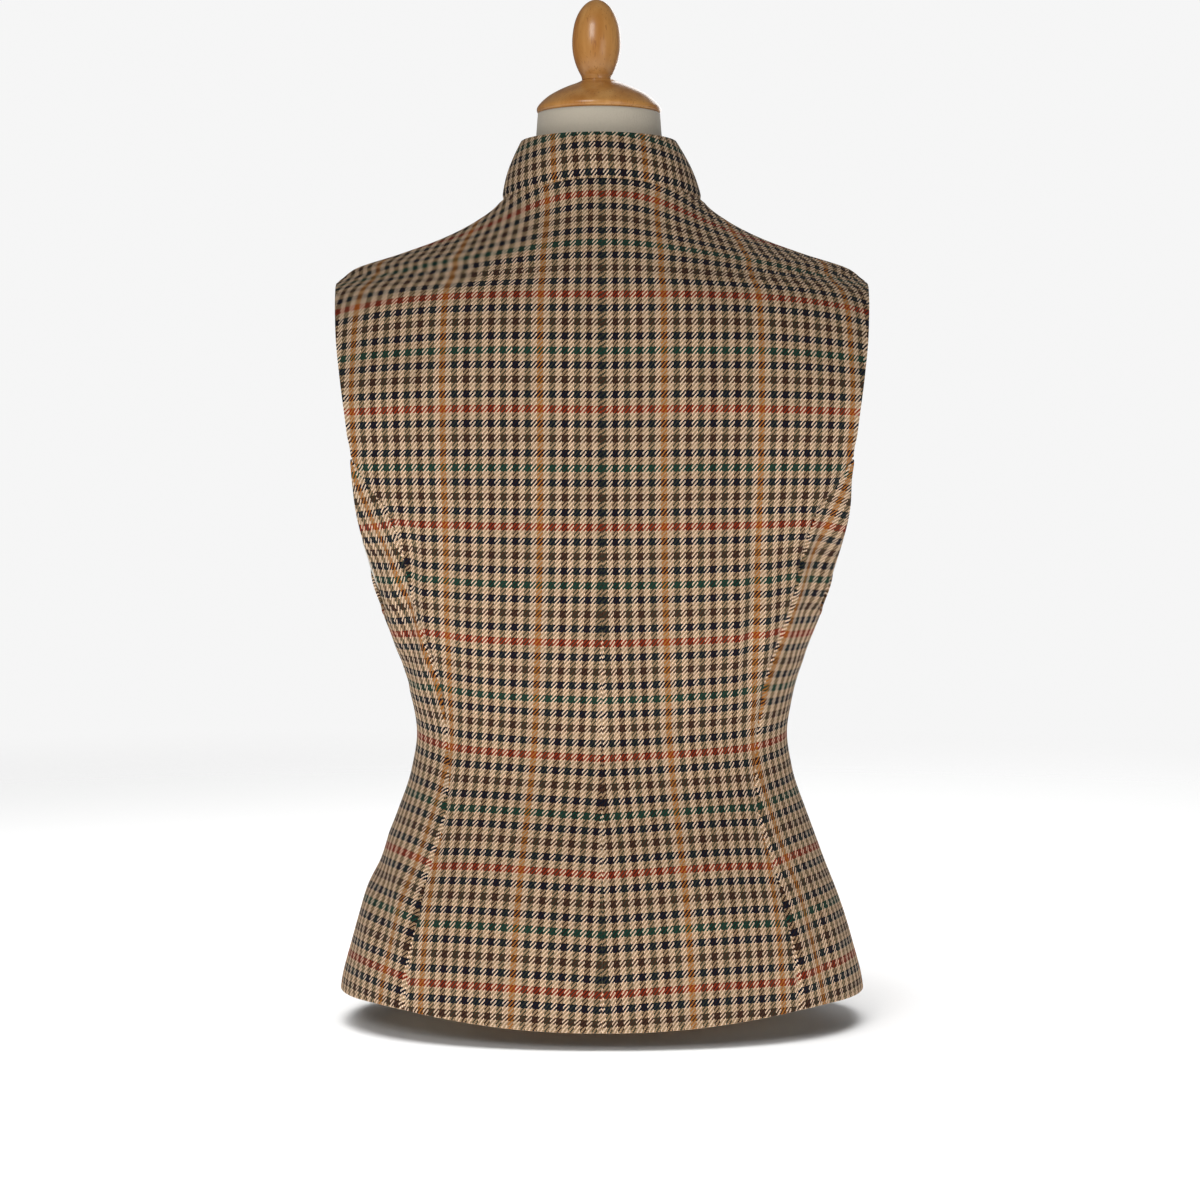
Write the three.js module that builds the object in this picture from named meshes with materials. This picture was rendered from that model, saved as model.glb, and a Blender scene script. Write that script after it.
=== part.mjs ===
// A fitted, collared tweed waistcoat on a tabletop dress form with a turned wooden neck cap.
// Millimetres, +Z up. The front of the body faces -Y and its left side is +X.
//
// The cloth is cut as a tailor cuts it: two backs, two side backs, two fronts and a stand collar.
// Every panel is a thin wall laid on one smooth torso surface, between its own seam lines.
import * as THREE from 'three';

// Driving sizes
const clothThick = 2.2;          // tweed with its fusing
const collarThick = 2.4;
const seamGap = 0.3;             // clear space at a seam and between layers
const hemCentreBack = 12;        // heights above the surface the form stands on
const hemSide = 23.5;
const hemCentreFront = 15.5;
const waistHeight = 204;
const underarmHeight = 288;
const princessTop = 402;         // where the back princess seam runs into the armhole
const shoulderTip = 530;
const neckCentreBack = 597;      // the collar seam
const neckSide = 588;
const neckCentreFront = 548;
const collarTopBack = 630.5;
const collarTopSide = 630;
const collarTopFront = 581;
const collarTop = { half: 55.5, back: 54, front: -62 };
const collarLean = 2.4;          // the top of the collar stands a little to the left
const collarBulge = 2.6;         // the collar swells a little between its edges
const collarOpening = 1.6;       // each collar end stops this far from the centre front
const buttonLap = 14;            // each front runs past the centre front by this much
const lapRise = [42, 22];        // the upper front lifts off the lower one over this stretch
const lapClear = 0.4;            // space between the two fronts where they lap
const buttonClear = 0.5;         // space under each button
const ridgeBlend = 10;           // the shoulder ridge is rounded over this depth
const buttonHeights = [525, 446, 367, 288, 209, 130];
const buttonRadius = 9;
const buttonThick = 3.6;
const formBottom = 30;
const formTop = 649.5;
const plateOut = 171;            // the flat arm plates lie this far out from the middle
const neckLean = 2.2;            // so do the neck and its cap
const finialLean = 4;            // and the finial a little more
const capRadius = 44.8;
const footHalf = { x: 100, y: 68 };
const footBack = -15;            // the foot is set towards the front
const middleShift = 6.4;         // moves the whole so that its box is centred

// The outer surface of the cloth, section by section: half width, then the back, front and side
// depths. flat says how square each half is across its middle and blunt at its side: 2 is round,
// more is squarer, and less comes to a ridge, as at the shoulders.
const torsoColumns = ['z', 'half', 'back', 'front', 'side',
  'flatBack', 'bluntBack', 'flatFront', 'bluntFront'];
const torsoSections = [
  [0, 189, 127, -120, 0, 2.25, 2.25, 2.3, 2.3],
  [30, 186, 126, -120, 0, 2.25, 2.25, 2.3, 2.3],
  [60, 178.5, 123.5, -119, 0, 2.25, 2.25, 2.3, 2.3],
  [90, 169, 117.5, -117, -1, 2.25, 2.25, 2.3, 2.3],
  [120, 157.5, 108.5, -113, -3, 2.2, 2.2, 2.3, 2.3],
  [150, 146.5, 98, -109, -4, 2.2, 2.2, 2.3, 2.3],
  [180, 136.5, 90, -106, -6, 2.2, 2.2, 2.3, 2.3],
  [204, 133, 87, -105, -6, 2.2, 2.2, 2.3, 2.3],
  [230, 137, 89.5, -106, -6, 2.25, 2.25, 2.3, 2.3],
  [260, 145.5, 95, -109, -6, 2.3, 2.3, 2.3, 2.3],
  [288, 156, 100, -114, -6, 2.4, 2.4, 2.3, 2.3],
  [310, 167, 103.5, -120, -6, 2.4, 2.4, 2.3, 2.2],
  [330, 174.5, 106.5, -126, -6, 2.4, 2.4, 2.25, 2],
  [350, 190, 108.5, -130, -6, 2.4, 2.4, 2.2, 1.7],
  [375, 208, 110, -132.5, -6, 2.4, 2.4, 2.15, 1.35],
  [402, 226, 111, -132, -6, 2.4, 2.4, 2.1, 1.12],
  [440, 242, 111, -126, -5, 2.4, 2.4, 2, 1.1],
  [480, 236, 108, -114, -3, 2.1, 2.1, 2, 1.08],
  [505, 222, 103, -101, -1, 2, 1.95, 2, 1.2],
  [520, 208.5, 98, -91, 0, 1.9, 1.65, 2, 1.25],
  [526, 199.5, 96, -87.5, 0.5, 1.88, 1.45, 1.98, 1.2],
  [530, 190, 94, -84, 1, 1.85, 1.25, 1.95, 1.1],
  [538, 180, 90.5, -78, 2, 1.8, 1.08, 1.9, 1],
  [549, 147, 85.5, -72, 4, 1.8, 1, 1.9, 1],
  [560, 116, 79.5, -66, 5, 1.8, 1.05, 1.9, 1.1],
  [572, 91.5, 73, -60, 5, 1.8, 1.25, 1.9, 1.25],
  [584, 75, 67, -54, 5, 1.9, 1.6, 1.95, 1.6],
  [597, 67, 62, -49, 5, 2, 2, 2, 2],
  [620, 61, 58, -46, 5, 2, 2, 2, 2],
].map((row) => Object.fromEntries(row.map((value, i) => [torsoColumns[i], value])));

// How far out from the centre back the princess seam and the back armhole edge lie.
const princessSeam = [
  { z: 12, out: 137 }, { z: 55, out: 133 }, { z: 95, out: 125 }, { z: 120, out: 119 },
  { z: 136, out: 113.5 }, { z: 156, out: 109 }, { z: 180, out: 107.5 }, { z: 214, out: 110 },
  { z: 246, out: 114.5 }, { z: 274, out: 123.5 }, { z: 302, out: 132.8 }, { z: 340, out: 140.5 },
  { z: 364, out: 149 }, { z: 376, out: 158.3 }, { z: 388, out: 167 }, { z: 402, out: 172.3 },
];
const backArmhole = [
  { z: 288, out: 154 }, { z: 296, out: 153.2 }, { z: 306, out: 156 }, { z: 316, out: 159.6 },
  { z: 328, out: 163.6 }, { z: 338, out: 166.6 }, { z: 350, out: 169.4 }, { z: 365, out: 172 },
  { z: 380, out: 173.4 }, { z: 402, out: 175 }, { z: 430, out: 178.2 }, { z: 460, out: 182.6 },
  { z: 480, out: 185.4 }, { z: 505, out: 187.6 }, { z: 518, out: 189 }, { z: 526, out: 190 },
  { z: 530, out: 190 },
];
// Angles round the body from the centre back, in degrees.
const sideSeam = [
  { z: 12, angle: 92 }, { z: 150, angle: 92 }, { z: 204, angle: 90 }, { z: 250, angle: 86 },
  { z: 288, angle: 80 },
];
const frontArmhole = [
  { z: 288, angle: 82 }, { z: 296, angle: 91 }, { z: 306, angle: 95 }, { z: 316, angle: 98 },
  { z: 330, angle: 104 }, { z: 350, angle: 116.5 }, { z: 365, angle: 124 }, { z: 380, angle: 129.5 },
  { z: 410, angle: 134.5 }, { z: 440, angle: 135.5 }, { z: 470, angle: 133 }, { z: 490, angle: 128 },
  { z: 505, angle: 122 }, { z: 518, angle: 115.5 }, { z: 525, angle: 109 }, { z: 530, angle: 90 },
];

// Rows of the panels' grids: even steps from hem to waist, set heights to the shoulder tip, then
// shares of the way up to the collar seam.
const skirtRows = 8;
const upperRows = [226, 248, 268, underarmHeight, 296, 306, 316, 328, 338, 350, 365, 380,
  princessTop, 425, 448, 470, 490, 505, 517, 525, shoulderTip];
const shoulderShares = [0.12, 0.3, 0.5, 0.7, 0.86, 1];
const underarmRow = skirtRows + 1 + upperRows.indexOf(underarmHeight);
const princessTopRow = skirtRows + 1 + upperRows.indexOf(princessTop);
const shoulderRow = skirtRows + upperRows.length;
const lastRow = shoulderRow + shoulderShares.length;

// How loosely the cloth hangs off the form: far at the flared hem, touching at the shoulders.
const slackSections = [
  { z: 30, slack: 30 }, { z: 90, slack: 20 }, { z: 150, slack: 9 }, { z: 204, slack: 4 },
  { z: 288, slack: 3 }, { z: 350, slack: 1.5 }, { z: 420, slack: 0.4 }, { z: 546, slack: 0.4 },
  { z: 572, slack: 2 },
];
const neckSections = [
  { z: 584, half: 66, back: 60, front: -48 }, { z: 597, half: 56, back: 53, front: -44.5 },
  { z: 610, half: 49.5, back: 48, front: -43 }, { z: 626, half: 46, back: 46, front: -42.5 },
  { z: formTop, half: 44, back: 45, front: -43 },
];

const degrees = Math.PI / 180;
const clamp01 = (t) => Math.min(1, Math.max(0, t));
const ease = (t) => clamp01(t) ** 2 * (3 - 2 * clamp01(t));
const mix = (a, b, t) => a + (b - a) * t;

// A smooth curve through one column of a table: cubic pieces with limited slopes.
function along(table, column, z) {
  const last = table.length - 1;
  if (z <= table[0].z) return table[0][column];
  if (z >= table[last].z) return table[last][column];
  let i = 0;
  while (z > table[i + 1].z) i++;
  const rise = (j) => (table[j + 1][column] - table[j][column]) / (table[j + 1].z - table[j].z);
  const slope = (j) => {
    if (j === 0) return rise(0);
    if (j === last) return rise(last - 1);
    const [below, above] = [rise(j - 1), rise(j)];
    return below * above <= 0 ? 0 : (2 * below * above) / (below + above);
  };
  const step = table[i + 1].z - table[i].z;
  const t = (z - table[i].z) / step;
  const [start, end] = [table[i][column], table[i + 1][column]];
  const bend = t * t * (3 - 2 * t);
  return start + (end - start) * bend
    + step * (slope(i) * t * (1 - t) ** 2 - slope(i + 1) * t * t * (1 - t));
}

const power = (value, exponent) => Math.sign(value) * Math.abs(value) ** exponent;

// A point of a rounded section: x = half sin^(2/flat), y = side + depth cos^(2/blunt).
function sectionPoint(section, angle, z) {
  const c = Math.cos(angle);
  const behind = c >= 0;
  const depth = behind ? section.back - section.side : section.side - section.front;
  const flat = behind ? section.flatBack : section.flatFront;
  const blunt = behind ? section.bluntBack : section.bluntFront;
  return new THREE.Vector3(
    section.half * power(Math.sin(angle), 2 / flat),
    section.side + depth * power(c, 2 / blunt),
    z,
  );
}

const roundSection = { flatBack: 2, bluntBack: 2, flatFront: 2, bluntFront: 2 };

function torsoSection(z) {
  const section = {};
  for (const column of torsoColumns) section[column] = along(torsoSections, column, z);
  return section;
}

const torsoBase = (angle, z) => sectionPoint(torsoSection(z), angle, z);

function torsoNormal(angle, z) {
  const turn = 0.02;
  const rise = 1.5;
  const around = torsoBase(angle + turn, z).sub(torsoBase(angle - turn, z));
  const upward = torsoBase(angle, z + rise).sub(torsoBase(angle, z - rise));
  return upward.cross(around).normalize();
}

// A point moved out from the torso. Close to the shoulder ridge the way out turns smoothly into
// the ridge's own, so that the two walls that meet there keep clear of each other.
function onTorso(angle, z, outward) {
  const point = torsoBase(angle, z);
  const normal = torsoNormal(angle, z);
  const fromRidge = Math.abs(point.y - along(torsoSections, 'side', z));
  const share = ease((z - 505) / 20) * ease(1 - fromRidge / ridgeBlend);
  const ridge = torsoNormal((Math.sin(angle) < 0 ? -1 : 1) * (Math.PI / 2), z);
  return point.addScaledVector(normal.lerp(ridge, share).normalize(), outward);
}

// The angle at which a section is a given distance out, on the back half.
function angleAt(out, z) {
  const section = torsoSection(z);
  return Math.asin(clamp01(out / section.half) ** (section.flatBack / 2));
}

function hemHeight(angle) {
  const turn = Math.abs(angle) / degrees;
  if (turn < 60) return mix(hemCentreBack, hemSide, Math.sin(turn * 1.5 * degrees) ** 2);
  return mix(hemSide, hemCentreFront, ease((turn - 90) / 90));
}

function neckHeight(angle) {
  const front = Math.abs(angle) > Math.PI / 2;
  if (front) return mix(neckCentreFront, neckSide, Math.sin(angle) ** 2);
  return mix(neckCentreBack, neckSide, Math.sin(angle) ** 2);
}

function collarTopHeight(angle) {
  const front = Math.abs(angle) > Math.PI / 2;
  return mix(front ? collarTopFront : collarTopBack, collarTopSide, Math.sin(angle) ** 2);
}

function rowHeight(row, angle) {
  if (row <= skirtRows) return mix(hemHeight(angle), waistHeight, row / skirtRows);
  if (row <= shoulderRow) return upperRows[row - skirtRows - 1];
  const share = shoulderShares[row - shoulderRow - 1];
  const top = neckHeight(angle) - seamGap / 2;
  return mix(shoulderTip, top, share);
}

// Seam lines, as an angle for each row.
const centreBackLine = () => 0;
const centreFrontLine = () => Math.PI;
const princessLine = (row) => {
  const z = rowHeight(row, 45 * degrees);
  return angleAt(along(princessSeam, 'out', z), z);
};
const sideLine = (row) => along(sideSeam, 'angle', rowHeight(row, 90 * degrees)) * degrees;
const backArmholeLine = (row) => {
  const z = rowHeight(row, 80 * degrees);
  return z >= shoulderTip ? 90 * degrees : angleAt(along(backArmhole, 'out', z), z);
};
const frontArmholeLine = (row) => {
  const z = rowHeight(row, 100 * degrees);
  return z >= shoulderTip ? 90 * degrees : along(frontArmhole, 'angle', z) * degrees;
};

// One row of a panel: evenly spaced angles between two seam lines, less the room left at each.
function rowAngles(row, from, to, roomFrom, roomTo, columns) {
  const fine = 640;
  const beyond = roomTo < 0 ? 0.35 : 0;
  const angles = [];
  const lengths = [0];
  let previous = null;
  for (let i = 0; i <= fine; i++) {
    const angle = mix(from, to + beyond, i / fine);
    const point = torsoBase(angle, rowHeight(row, angle));
    if (previous) lengths.push(lengths[i - 1] + point.distanceTo(previous));
    angles.push(angle);
    previous = point;
  }
  const find = (known, wanted, values) => {
    let i = 1;
    while (i < fine && known[i] < wanted) i++;
    return mix(values[i - 1], values[i], (wanted - known[i - 1]) / (known[i] - known[i - 1]));
  };
  const start = roomFrom;
  const end = find(angles, to, lengths) - roomTo;
  const result = [];
  for (let column = 0; column <= columns; column++) {
    const wanted = mix(start, end, column / columns);
    result.push({ angle: find(lengths, wanted, angles), toEnd: end + roomTo - wanted });
  }
  return result;
}

// A closed wall between two grids of points. Rows go up and columns go round to the left.
function closedWall(outer, inner, mirrored) {
  const rows = outer.length;
  const columns = outer[0].length;
  const points = [...outer.flat(), ...inner.flat()];
  const at = (row, column, side) => side * rows * columns + row * columns + column;
  const triangles = [];
  const quad = (a, b, c, d) => triangles.push([a, b, c], [a, c, d]);
  for (let r = 0; r < rows - 1; r++) {
    for (let c = 0; c < columns - 1; c++) {
      quad(at(r, c, 0), at(r + 1, c, 0), at(r + 1, c + 1, 0), at(r, c + 1, 0));
      quad(at(r, c, 1), at(r, c + 1, 1), at(r + 1, c + 1, 1), at(r + 1, c, 1));
    }
  }
  for (let r = 0; r < rows - 1; r++) {
    quad(at(r, 0, 0), at(r, 0, 1), at(r + 1, 0, 1), at(r + 1, 0, 0));
    quad(at(r, columns - 1, 0), at(r + 1, columns - 1, 0),
      at(r + 1, columns - 1, 1), at(r, columns - 1, 1));
  }
  for (let c = 0; c < columns - 1; c++) {
    quad(at(0, c, 0), at(0, c + 1, 0), at(0, c + 1, 1), at(0, c, 1));
    quad(at(rows - 1, c, 0), at(rows - 1, c, 1),
      at(rows - 1, c + 1, 1), at(rows - 1, c + 1, 0));
  }
  const sign = mirrored ? -1 : 1;
  const positions = points.flatMap((p) => [sign * p.x, p.y, p.z]);
  const index = triangles.flatMap(([a, b, c]) => (mirrored ? [a, c, b] : [a, b, c]));
  const geometry = new THREE.BufferGeometry();
  geometry.setAttribute('position', new THREE.Float32BufferAttribute(positions, 3));
  geometry.setIndex(index);
  geometry.computeVertexNormals();
  return geometry;
}

// A cloth panel between two seam lines. lift says how far it stands out at a distance from its end.
function panel({ rows, from, to, roomFrom, roomTo, columns, lift = () => 0 }, mirrored) {
  const outer = [];
  const inner = [];
  for (let row = 0; row <= rows; row++) {
    const line = rowAngles(row, from(row), to(row), roomFrom, roomTo, columns);
    const heights = line.map(({ angle }) => rowHeight(row, angle));
    outer.push(line.map(({ angle, toEnd }, i) => onTorso(angle, heights[i], lift(toEnd))));
    inner.push(line.map(({ angle, toEnd }, i) => (
      onTorso(angle, heights[i], lift(toEnd) - clothThick))));
  }
  return closedWall(outer, inner, mirrored);
}

const backPanel = {
  rows: lastRow,
  from: centreBackLine,
  to: (row) => (row <= princessTopRow ? princessLine(row) : backArmholeLine(row)),
  roomFrom: seamGap / 2,
  roomTo: seamGap / 2,
  columns: 12,
};

const sideBackPanel = {
  rows: princessTopRow,
  from: princessLine,
  to: (row) => (row <= underarmRow ? sideLine(row) : backArmholeLine(row)),
  roomFrom: seamGap / 2,
  roomTo: seamGap / 2,
  columns: 4,
};

const frontPanel = (lift) => ({
  rows: lastRow,
  from: (row) => (row <= underarmRow ? sideLine(row) : frontArmholeLine(row)),
  to: centreFrontLine,
  roomFrom: seamGap / 2,
  roomTo: -buttonLap,
  columns: 14,
  lift,
});

const lapLift = (toEnd) => {
  const [start, finish] = lapRise;
  return (clothThick + lapClear) * ease((start - toEnd) / (start - finish));
};

// The stand collar is a band from the neck seam up to its own smaller top ring.
function collarPoint(angle, share) {
  const foot = torsoBase(angle, neckHeight(angle) + seamGap);
  const ring = { ...roundSection, ...collarTop, side: 0 };
  const top = sectionPoint(ring, angle, collarTopHeight(angle));
  top.x += collarLean;
  const swell = collarBulge * Math.sin(Math.PI * share);
  const outward = new THREE.Vector3(Math.sin(angle), Math.cos(angle), 0);
  return foot.lerp(top, share).addScaledVector(outward, swell);
}

function collar() {
  const columns = 60;
  const rows = 4;
  const end = Math.PI - Math.asin(collarOpening / collarTop.half);
  const outer = [];
  const inner = [];
  for (let row = 0; row <= rows; row++) {
    outer.push([]);
    inner.push([]);
    for (let column = 0; column <= columns; column++) {
      const angle = mix(-end, end, column / columns);
      const share = row / rows;
      const point = collarPoint(angle, share);
      const around = collarPoint(angle + 0.02, share).sub(collarPoint(angle - 0.02, share));
      const upward = collarPoint(angle, share + 0.05).sub(collarPoint(angle, share - 0.05));
      const normal = upward.cross(around).normalize();
      outer[row].push(point);
      inner[row].push(point.clone().addScaledVector(normal, -collarThick));
    }
  }
  return closedWall(outer, inner, false);
}

// A closed body from rings of points, with a flat fan at each end.
function ringBody(rings) {
  const count = rings[0].length;
  const positions = rings.flat().flatMap((p) => [p.x, p.y, p.z]);
  const index = [];
  for (let r = 0; r < rings.length - 1; r++) {
    for (let c = 0; c < count; c++) {
      const next = (c + 1) % count;
      const [a, b] = [r * count + c, (r + 1) * count + c];
      const [d, e] = [r * count + next, (r + 1) * count + next];
      index.push(a, b, e, a, e, d);
    }
  }
  for (const [ring, upper] of [[rings[0], false], [rings[rings.length - 1], true]]) {
    const centre = ring.reduce((sum, p) => sum.add(p), new THREE.Vector3()).divideScalar(count);
    const hub = positions.length / 3;
    positions.push(centre.x, centre.y, centre.z);
    const first = upper ? (rings.length - 1) * count : 0;
    for (let c = 0; c < count; c++) {
      const [here, next] = [first + c, first + ((c + 1) % count)];
      index.push(...(upper ? [here, hub, next] : [here, next, hub]));
    }
  }
  const geometry = new THREE.BufferGeometry();
  geometry.setAttribute('position', new THREE.Float32BufferAttribute(positions, 3));
  geometry.setIndex(index);
  geometry.computeVertexNormals();
  return geometry;
}

// The dress form follows the inside of the cloth, with flat arm plates and its own slim neck.
function formPoint(angle, z) {
  const slack = along(slackSections, 'slack', z);
  const wide = Math.abs(torsoBase(angle, z).x);
  const armhole = 9 * ease((wide - 110) / 60) * ease((z - 320) / 40) * ease((520 - z) / 40);
  const point = onTorso(angle, z, -(clothThick + seamGap + slack + armhole));
  point.x = Math.sign(point.x) * Math.min(Math.abs(point.x), plateOut);
  return point;
}

function dressForm() {
  const columns = 44;
  const heights = [formBottom, 60, 90, 120, 150, 180, 204, 230, 260, 288, 310, 330, 350, 375, 402,
    425, 448, 470, 490, 505, 517, 525, 530, 538, 546, 553, 560, 566, 572];
  const turn = (column) => (column / columns) * 2 * Math.PI;
  const rings = heights.map((z) => {
    const ring = [];
    for (let column = 0; column < columns; column++) ring.push(formPoint(turn(column), z));
    if (z === formBottom) ring.forEach((p) => { p.z = formBottom; });
    return ring;
  });
  for (const section of neckSections) {
    const full = { ...roundSection, ...section, side: 1 };
    const lean = neckLean * ease((section.z - neckCentreBack) / 40);
    const ring = [];
    for (let column = 0; column < columns; column++) {
      const point = sectionPoint(full, turn(column), section.z);
      point.x += lean;
      ring.push(point);
    }
    rings.push(ring);
  }
  return ringBody(rings);
}

// Turned pieces are half outlines spun round the upright axis, as radius and height pairs.
function turned(outline, segments) {
  const profile = outline.map(([radius, height]) => new THREE.Vector2(radius, height));
  const geometry = new THREE.LatheGeometry(profile, segments);
  geometry.rotateX(Math.PI / 2);
  return geometry;
}

function neckCap() {
  const base = formTop + seamGap;
  return turned([
    [0, base], [capRadius - 1.5, base], [capRadius, base + 2], [capRadius, base + 4],
    [capRadius - 3, base + 8], [36, base + 13], [25.5, base + 18.5], [16, base + 22],
    [12.5, base + 24], [0, base + 24],
  ], 32);
}

function finial() {
  const base = formTop + seamGap + 24 + seamGap;
  return turned([
    [0, base], [10.4, base], [10.6, base + 2.5], [12.6, base + 6], [15.2, base + 12],
    [17, base + 19], [17.6, base + 26], [17.3, base + 33], [16, base + 41], [13.4, base + 48],
    [9.6, base + 53.5], [5, base + 57.2], [0, base + 58.4],
  ], 24);
}

function foot() {
  const outline = new THREE.Shape();
  outline.absellipse(0, 0, footHalf.x, footHalf.y, 0, 2 * Math.PI, false, 0);
  return new THREE.ExtrudeGeometry(outline, {
    depth: formBottom - seamGap, bevelEnabled: false, curveSegments: 28,
  });
}

function button() {
  return turned([
    [0, 0], [buttonRadius - 1.4, 0], [buttonRadius, 1], [buttonRadius, 2.4],
    [buttonRadius - 1, buttonThick - 0.2], [buttonRadius - 2.4, buttonThick],
    [buttonRadius - 3.6, buttonThick - 0.8], [0, buttonThick - 0.8],
  ], 20);
}

const tweed = new THREE.MeshStandardMaterial({ color: 0x7a6244, roughness: 0.95 });
const jersey = new THREE.MeshStandardMaterial({ color: 0xe6dcc8, roughness: 0.9 });
const beech = new THREE.MeshStandardMaterial({ color: 0xc48a4c, roughness: 0.35 });
const horn = new THREE.MeshStandardMaterial({ color: 0x3a2415, roughness: 0.4 });

const model = new THREE.Group();
model.position.y = middleShift;

function add(name, geometry, material) {
  const mesh = new THREE.Mesh(geometry, material);
  mesh.name = name;
  model.add(mesh);
  return mesh;
}

add('dress_form', dressForm(), jersey);
add('form_foot', foot(), beech).position.y = footBack;
add('neck_cap', neckCap(), beech).position.x = neckLean;
add('finial', finial(), beech).position.x = finialLean;
add('back_left', panel(backPanel, false), tweed);
add('back_right', panel(backPanel, true), tweed);
add('side_back_left', panel(sideBackPanel, false), tweed);
add('side_back_right', panel(sideBackPanel, true), tweed);
add('front_left', panel(frontPanel(() => 0), false), tweed);
add('front_right', panel(frontPanel(lapLift), true), tweed);
add('collar', collar(), tweed);

// The buttons lie on the upper front, square to it.
const up = new THREE.Vector3(0, 0, 1);
buttonHeights.forEach((height, i) => {
  const mesh = add(`button_${i + 1}`, button(), horn);
  mesh.position.copy(onTorso(Math.PI, height, clothThick + lapClear + buttonClear));
  mesh.quaternion.setFromUnitVectors(up, torsoNormal(Math.PI, height));
});

export default model;
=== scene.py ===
# %% [markdown]
# # A tweed waistcoat on a dress form
#
# The real thing is a fitted, collared waistcoat in a checked wool twill, shown from behind on a
# small display form with a turned wooden neck cap. A tailor cuts seven pieces for it: two backs,
# two side backs, two fronts and a collar. This lesson makes the same seven pieces. Each one is a
# thin wall laid on one smooth torso surface between its own seam lines. Then each is flattened
# again, as a pattern cutter would, so that the woven check can run straight along the cloth.

# %% Load the frame
import bpy
import mathutils
import numpy as np
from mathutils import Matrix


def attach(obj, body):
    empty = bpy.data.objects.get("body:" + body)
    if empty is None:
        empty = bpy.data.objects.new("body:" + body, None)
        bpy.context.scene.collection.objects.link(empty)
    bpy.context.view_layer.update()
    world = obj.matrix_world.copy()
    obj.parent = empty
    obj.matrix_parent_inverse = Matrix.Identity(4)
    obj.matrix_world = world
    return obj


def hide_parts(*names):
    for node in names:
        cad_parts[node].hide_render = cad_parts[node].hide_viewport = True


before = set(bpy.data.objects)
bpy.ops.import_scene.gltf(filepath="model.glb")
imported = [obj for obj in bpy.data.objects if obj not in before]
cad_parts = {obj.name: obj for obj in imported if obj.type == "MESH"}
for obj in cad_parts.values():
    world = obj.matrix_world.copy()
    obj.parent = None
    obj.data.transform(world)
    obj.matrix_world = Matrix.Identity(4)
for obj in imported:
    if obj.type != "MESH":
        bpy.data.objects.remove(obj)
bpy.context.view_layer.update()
MM = 0.001
DEGREES = np.pi / 180
print("nodes in the frame:", len(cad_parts))

# %% [markdown]
# ## Driving sizes
#
# All shapes are worked out in millimetres and turned into metres only when a mesh is made. These
# are the sizes a maker would write on the pattern: cloth thickness, seam room and the heights of
# the hem, waist, underarm, shoulder tip and neck seam above the table.

# %% Sizes
CLOTH_THICK = 2.2
COLLAR_THICK = 2.4
SEAM_GAP = 0.3
SEAM_ROOM = 0.05            # the sewn edges almost touch, so only a dark line shows
HEM_BACK, HEM_SIDE, HEM_FRONT = 12.0, 23.5, 15.5
WAIST, UNDERARM, PRINCESS_TOP, SHOULDER_TIP = 204.0, 288.0, 402.0, 530.0
NECK_BACK, NECK_SIDE, NECK_FRONT = 597.0, 588.0, 548.0
COLLAR_BACK, COLLAR_SIDE, COLLAR_FRONT = 630.5, 630.0, 581.0
COLLAR_RING = {"half": 55.5, "back": 54.0, "front": -62.0}
COLLAR_BULGE = 2.6
COLLAR_OPENING = 1.6
BUTTON_LAP = 14.0
LAP_RISE = (42.0, 22.0)
LAP_CLEAR = 0.4
BUTTON_CLEAR = 0.5
BUTTON_HEIGHTS = (525.0, 446.0, 367.0, 288.0, 209.0, 130.0)
FORM_BOTTOM, FORM_TOP = 30.0, 649.5
PLATE_OUT = 171.0
COLLAR_LEAN, NECK_LEAN, FINIAL_LEAN = 2.4, 2.2, 4.0   # towards the wearer's left
CAP_RADIUS = 44.8
MIDDLE_SHIFT = 6.4          # the whole is moved back by this, so that its box is centred

# %% [markdown]
# ## The torso surface
#
# Every panel lies on one surface: a stack of rounded sections. A section is a superellipse, whose
# exponents say how flat the back is across its middle and how blunt it is at the side. Between the
# rows of this short table each value follows a smooth curve, so the surface has no steps.

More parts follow.
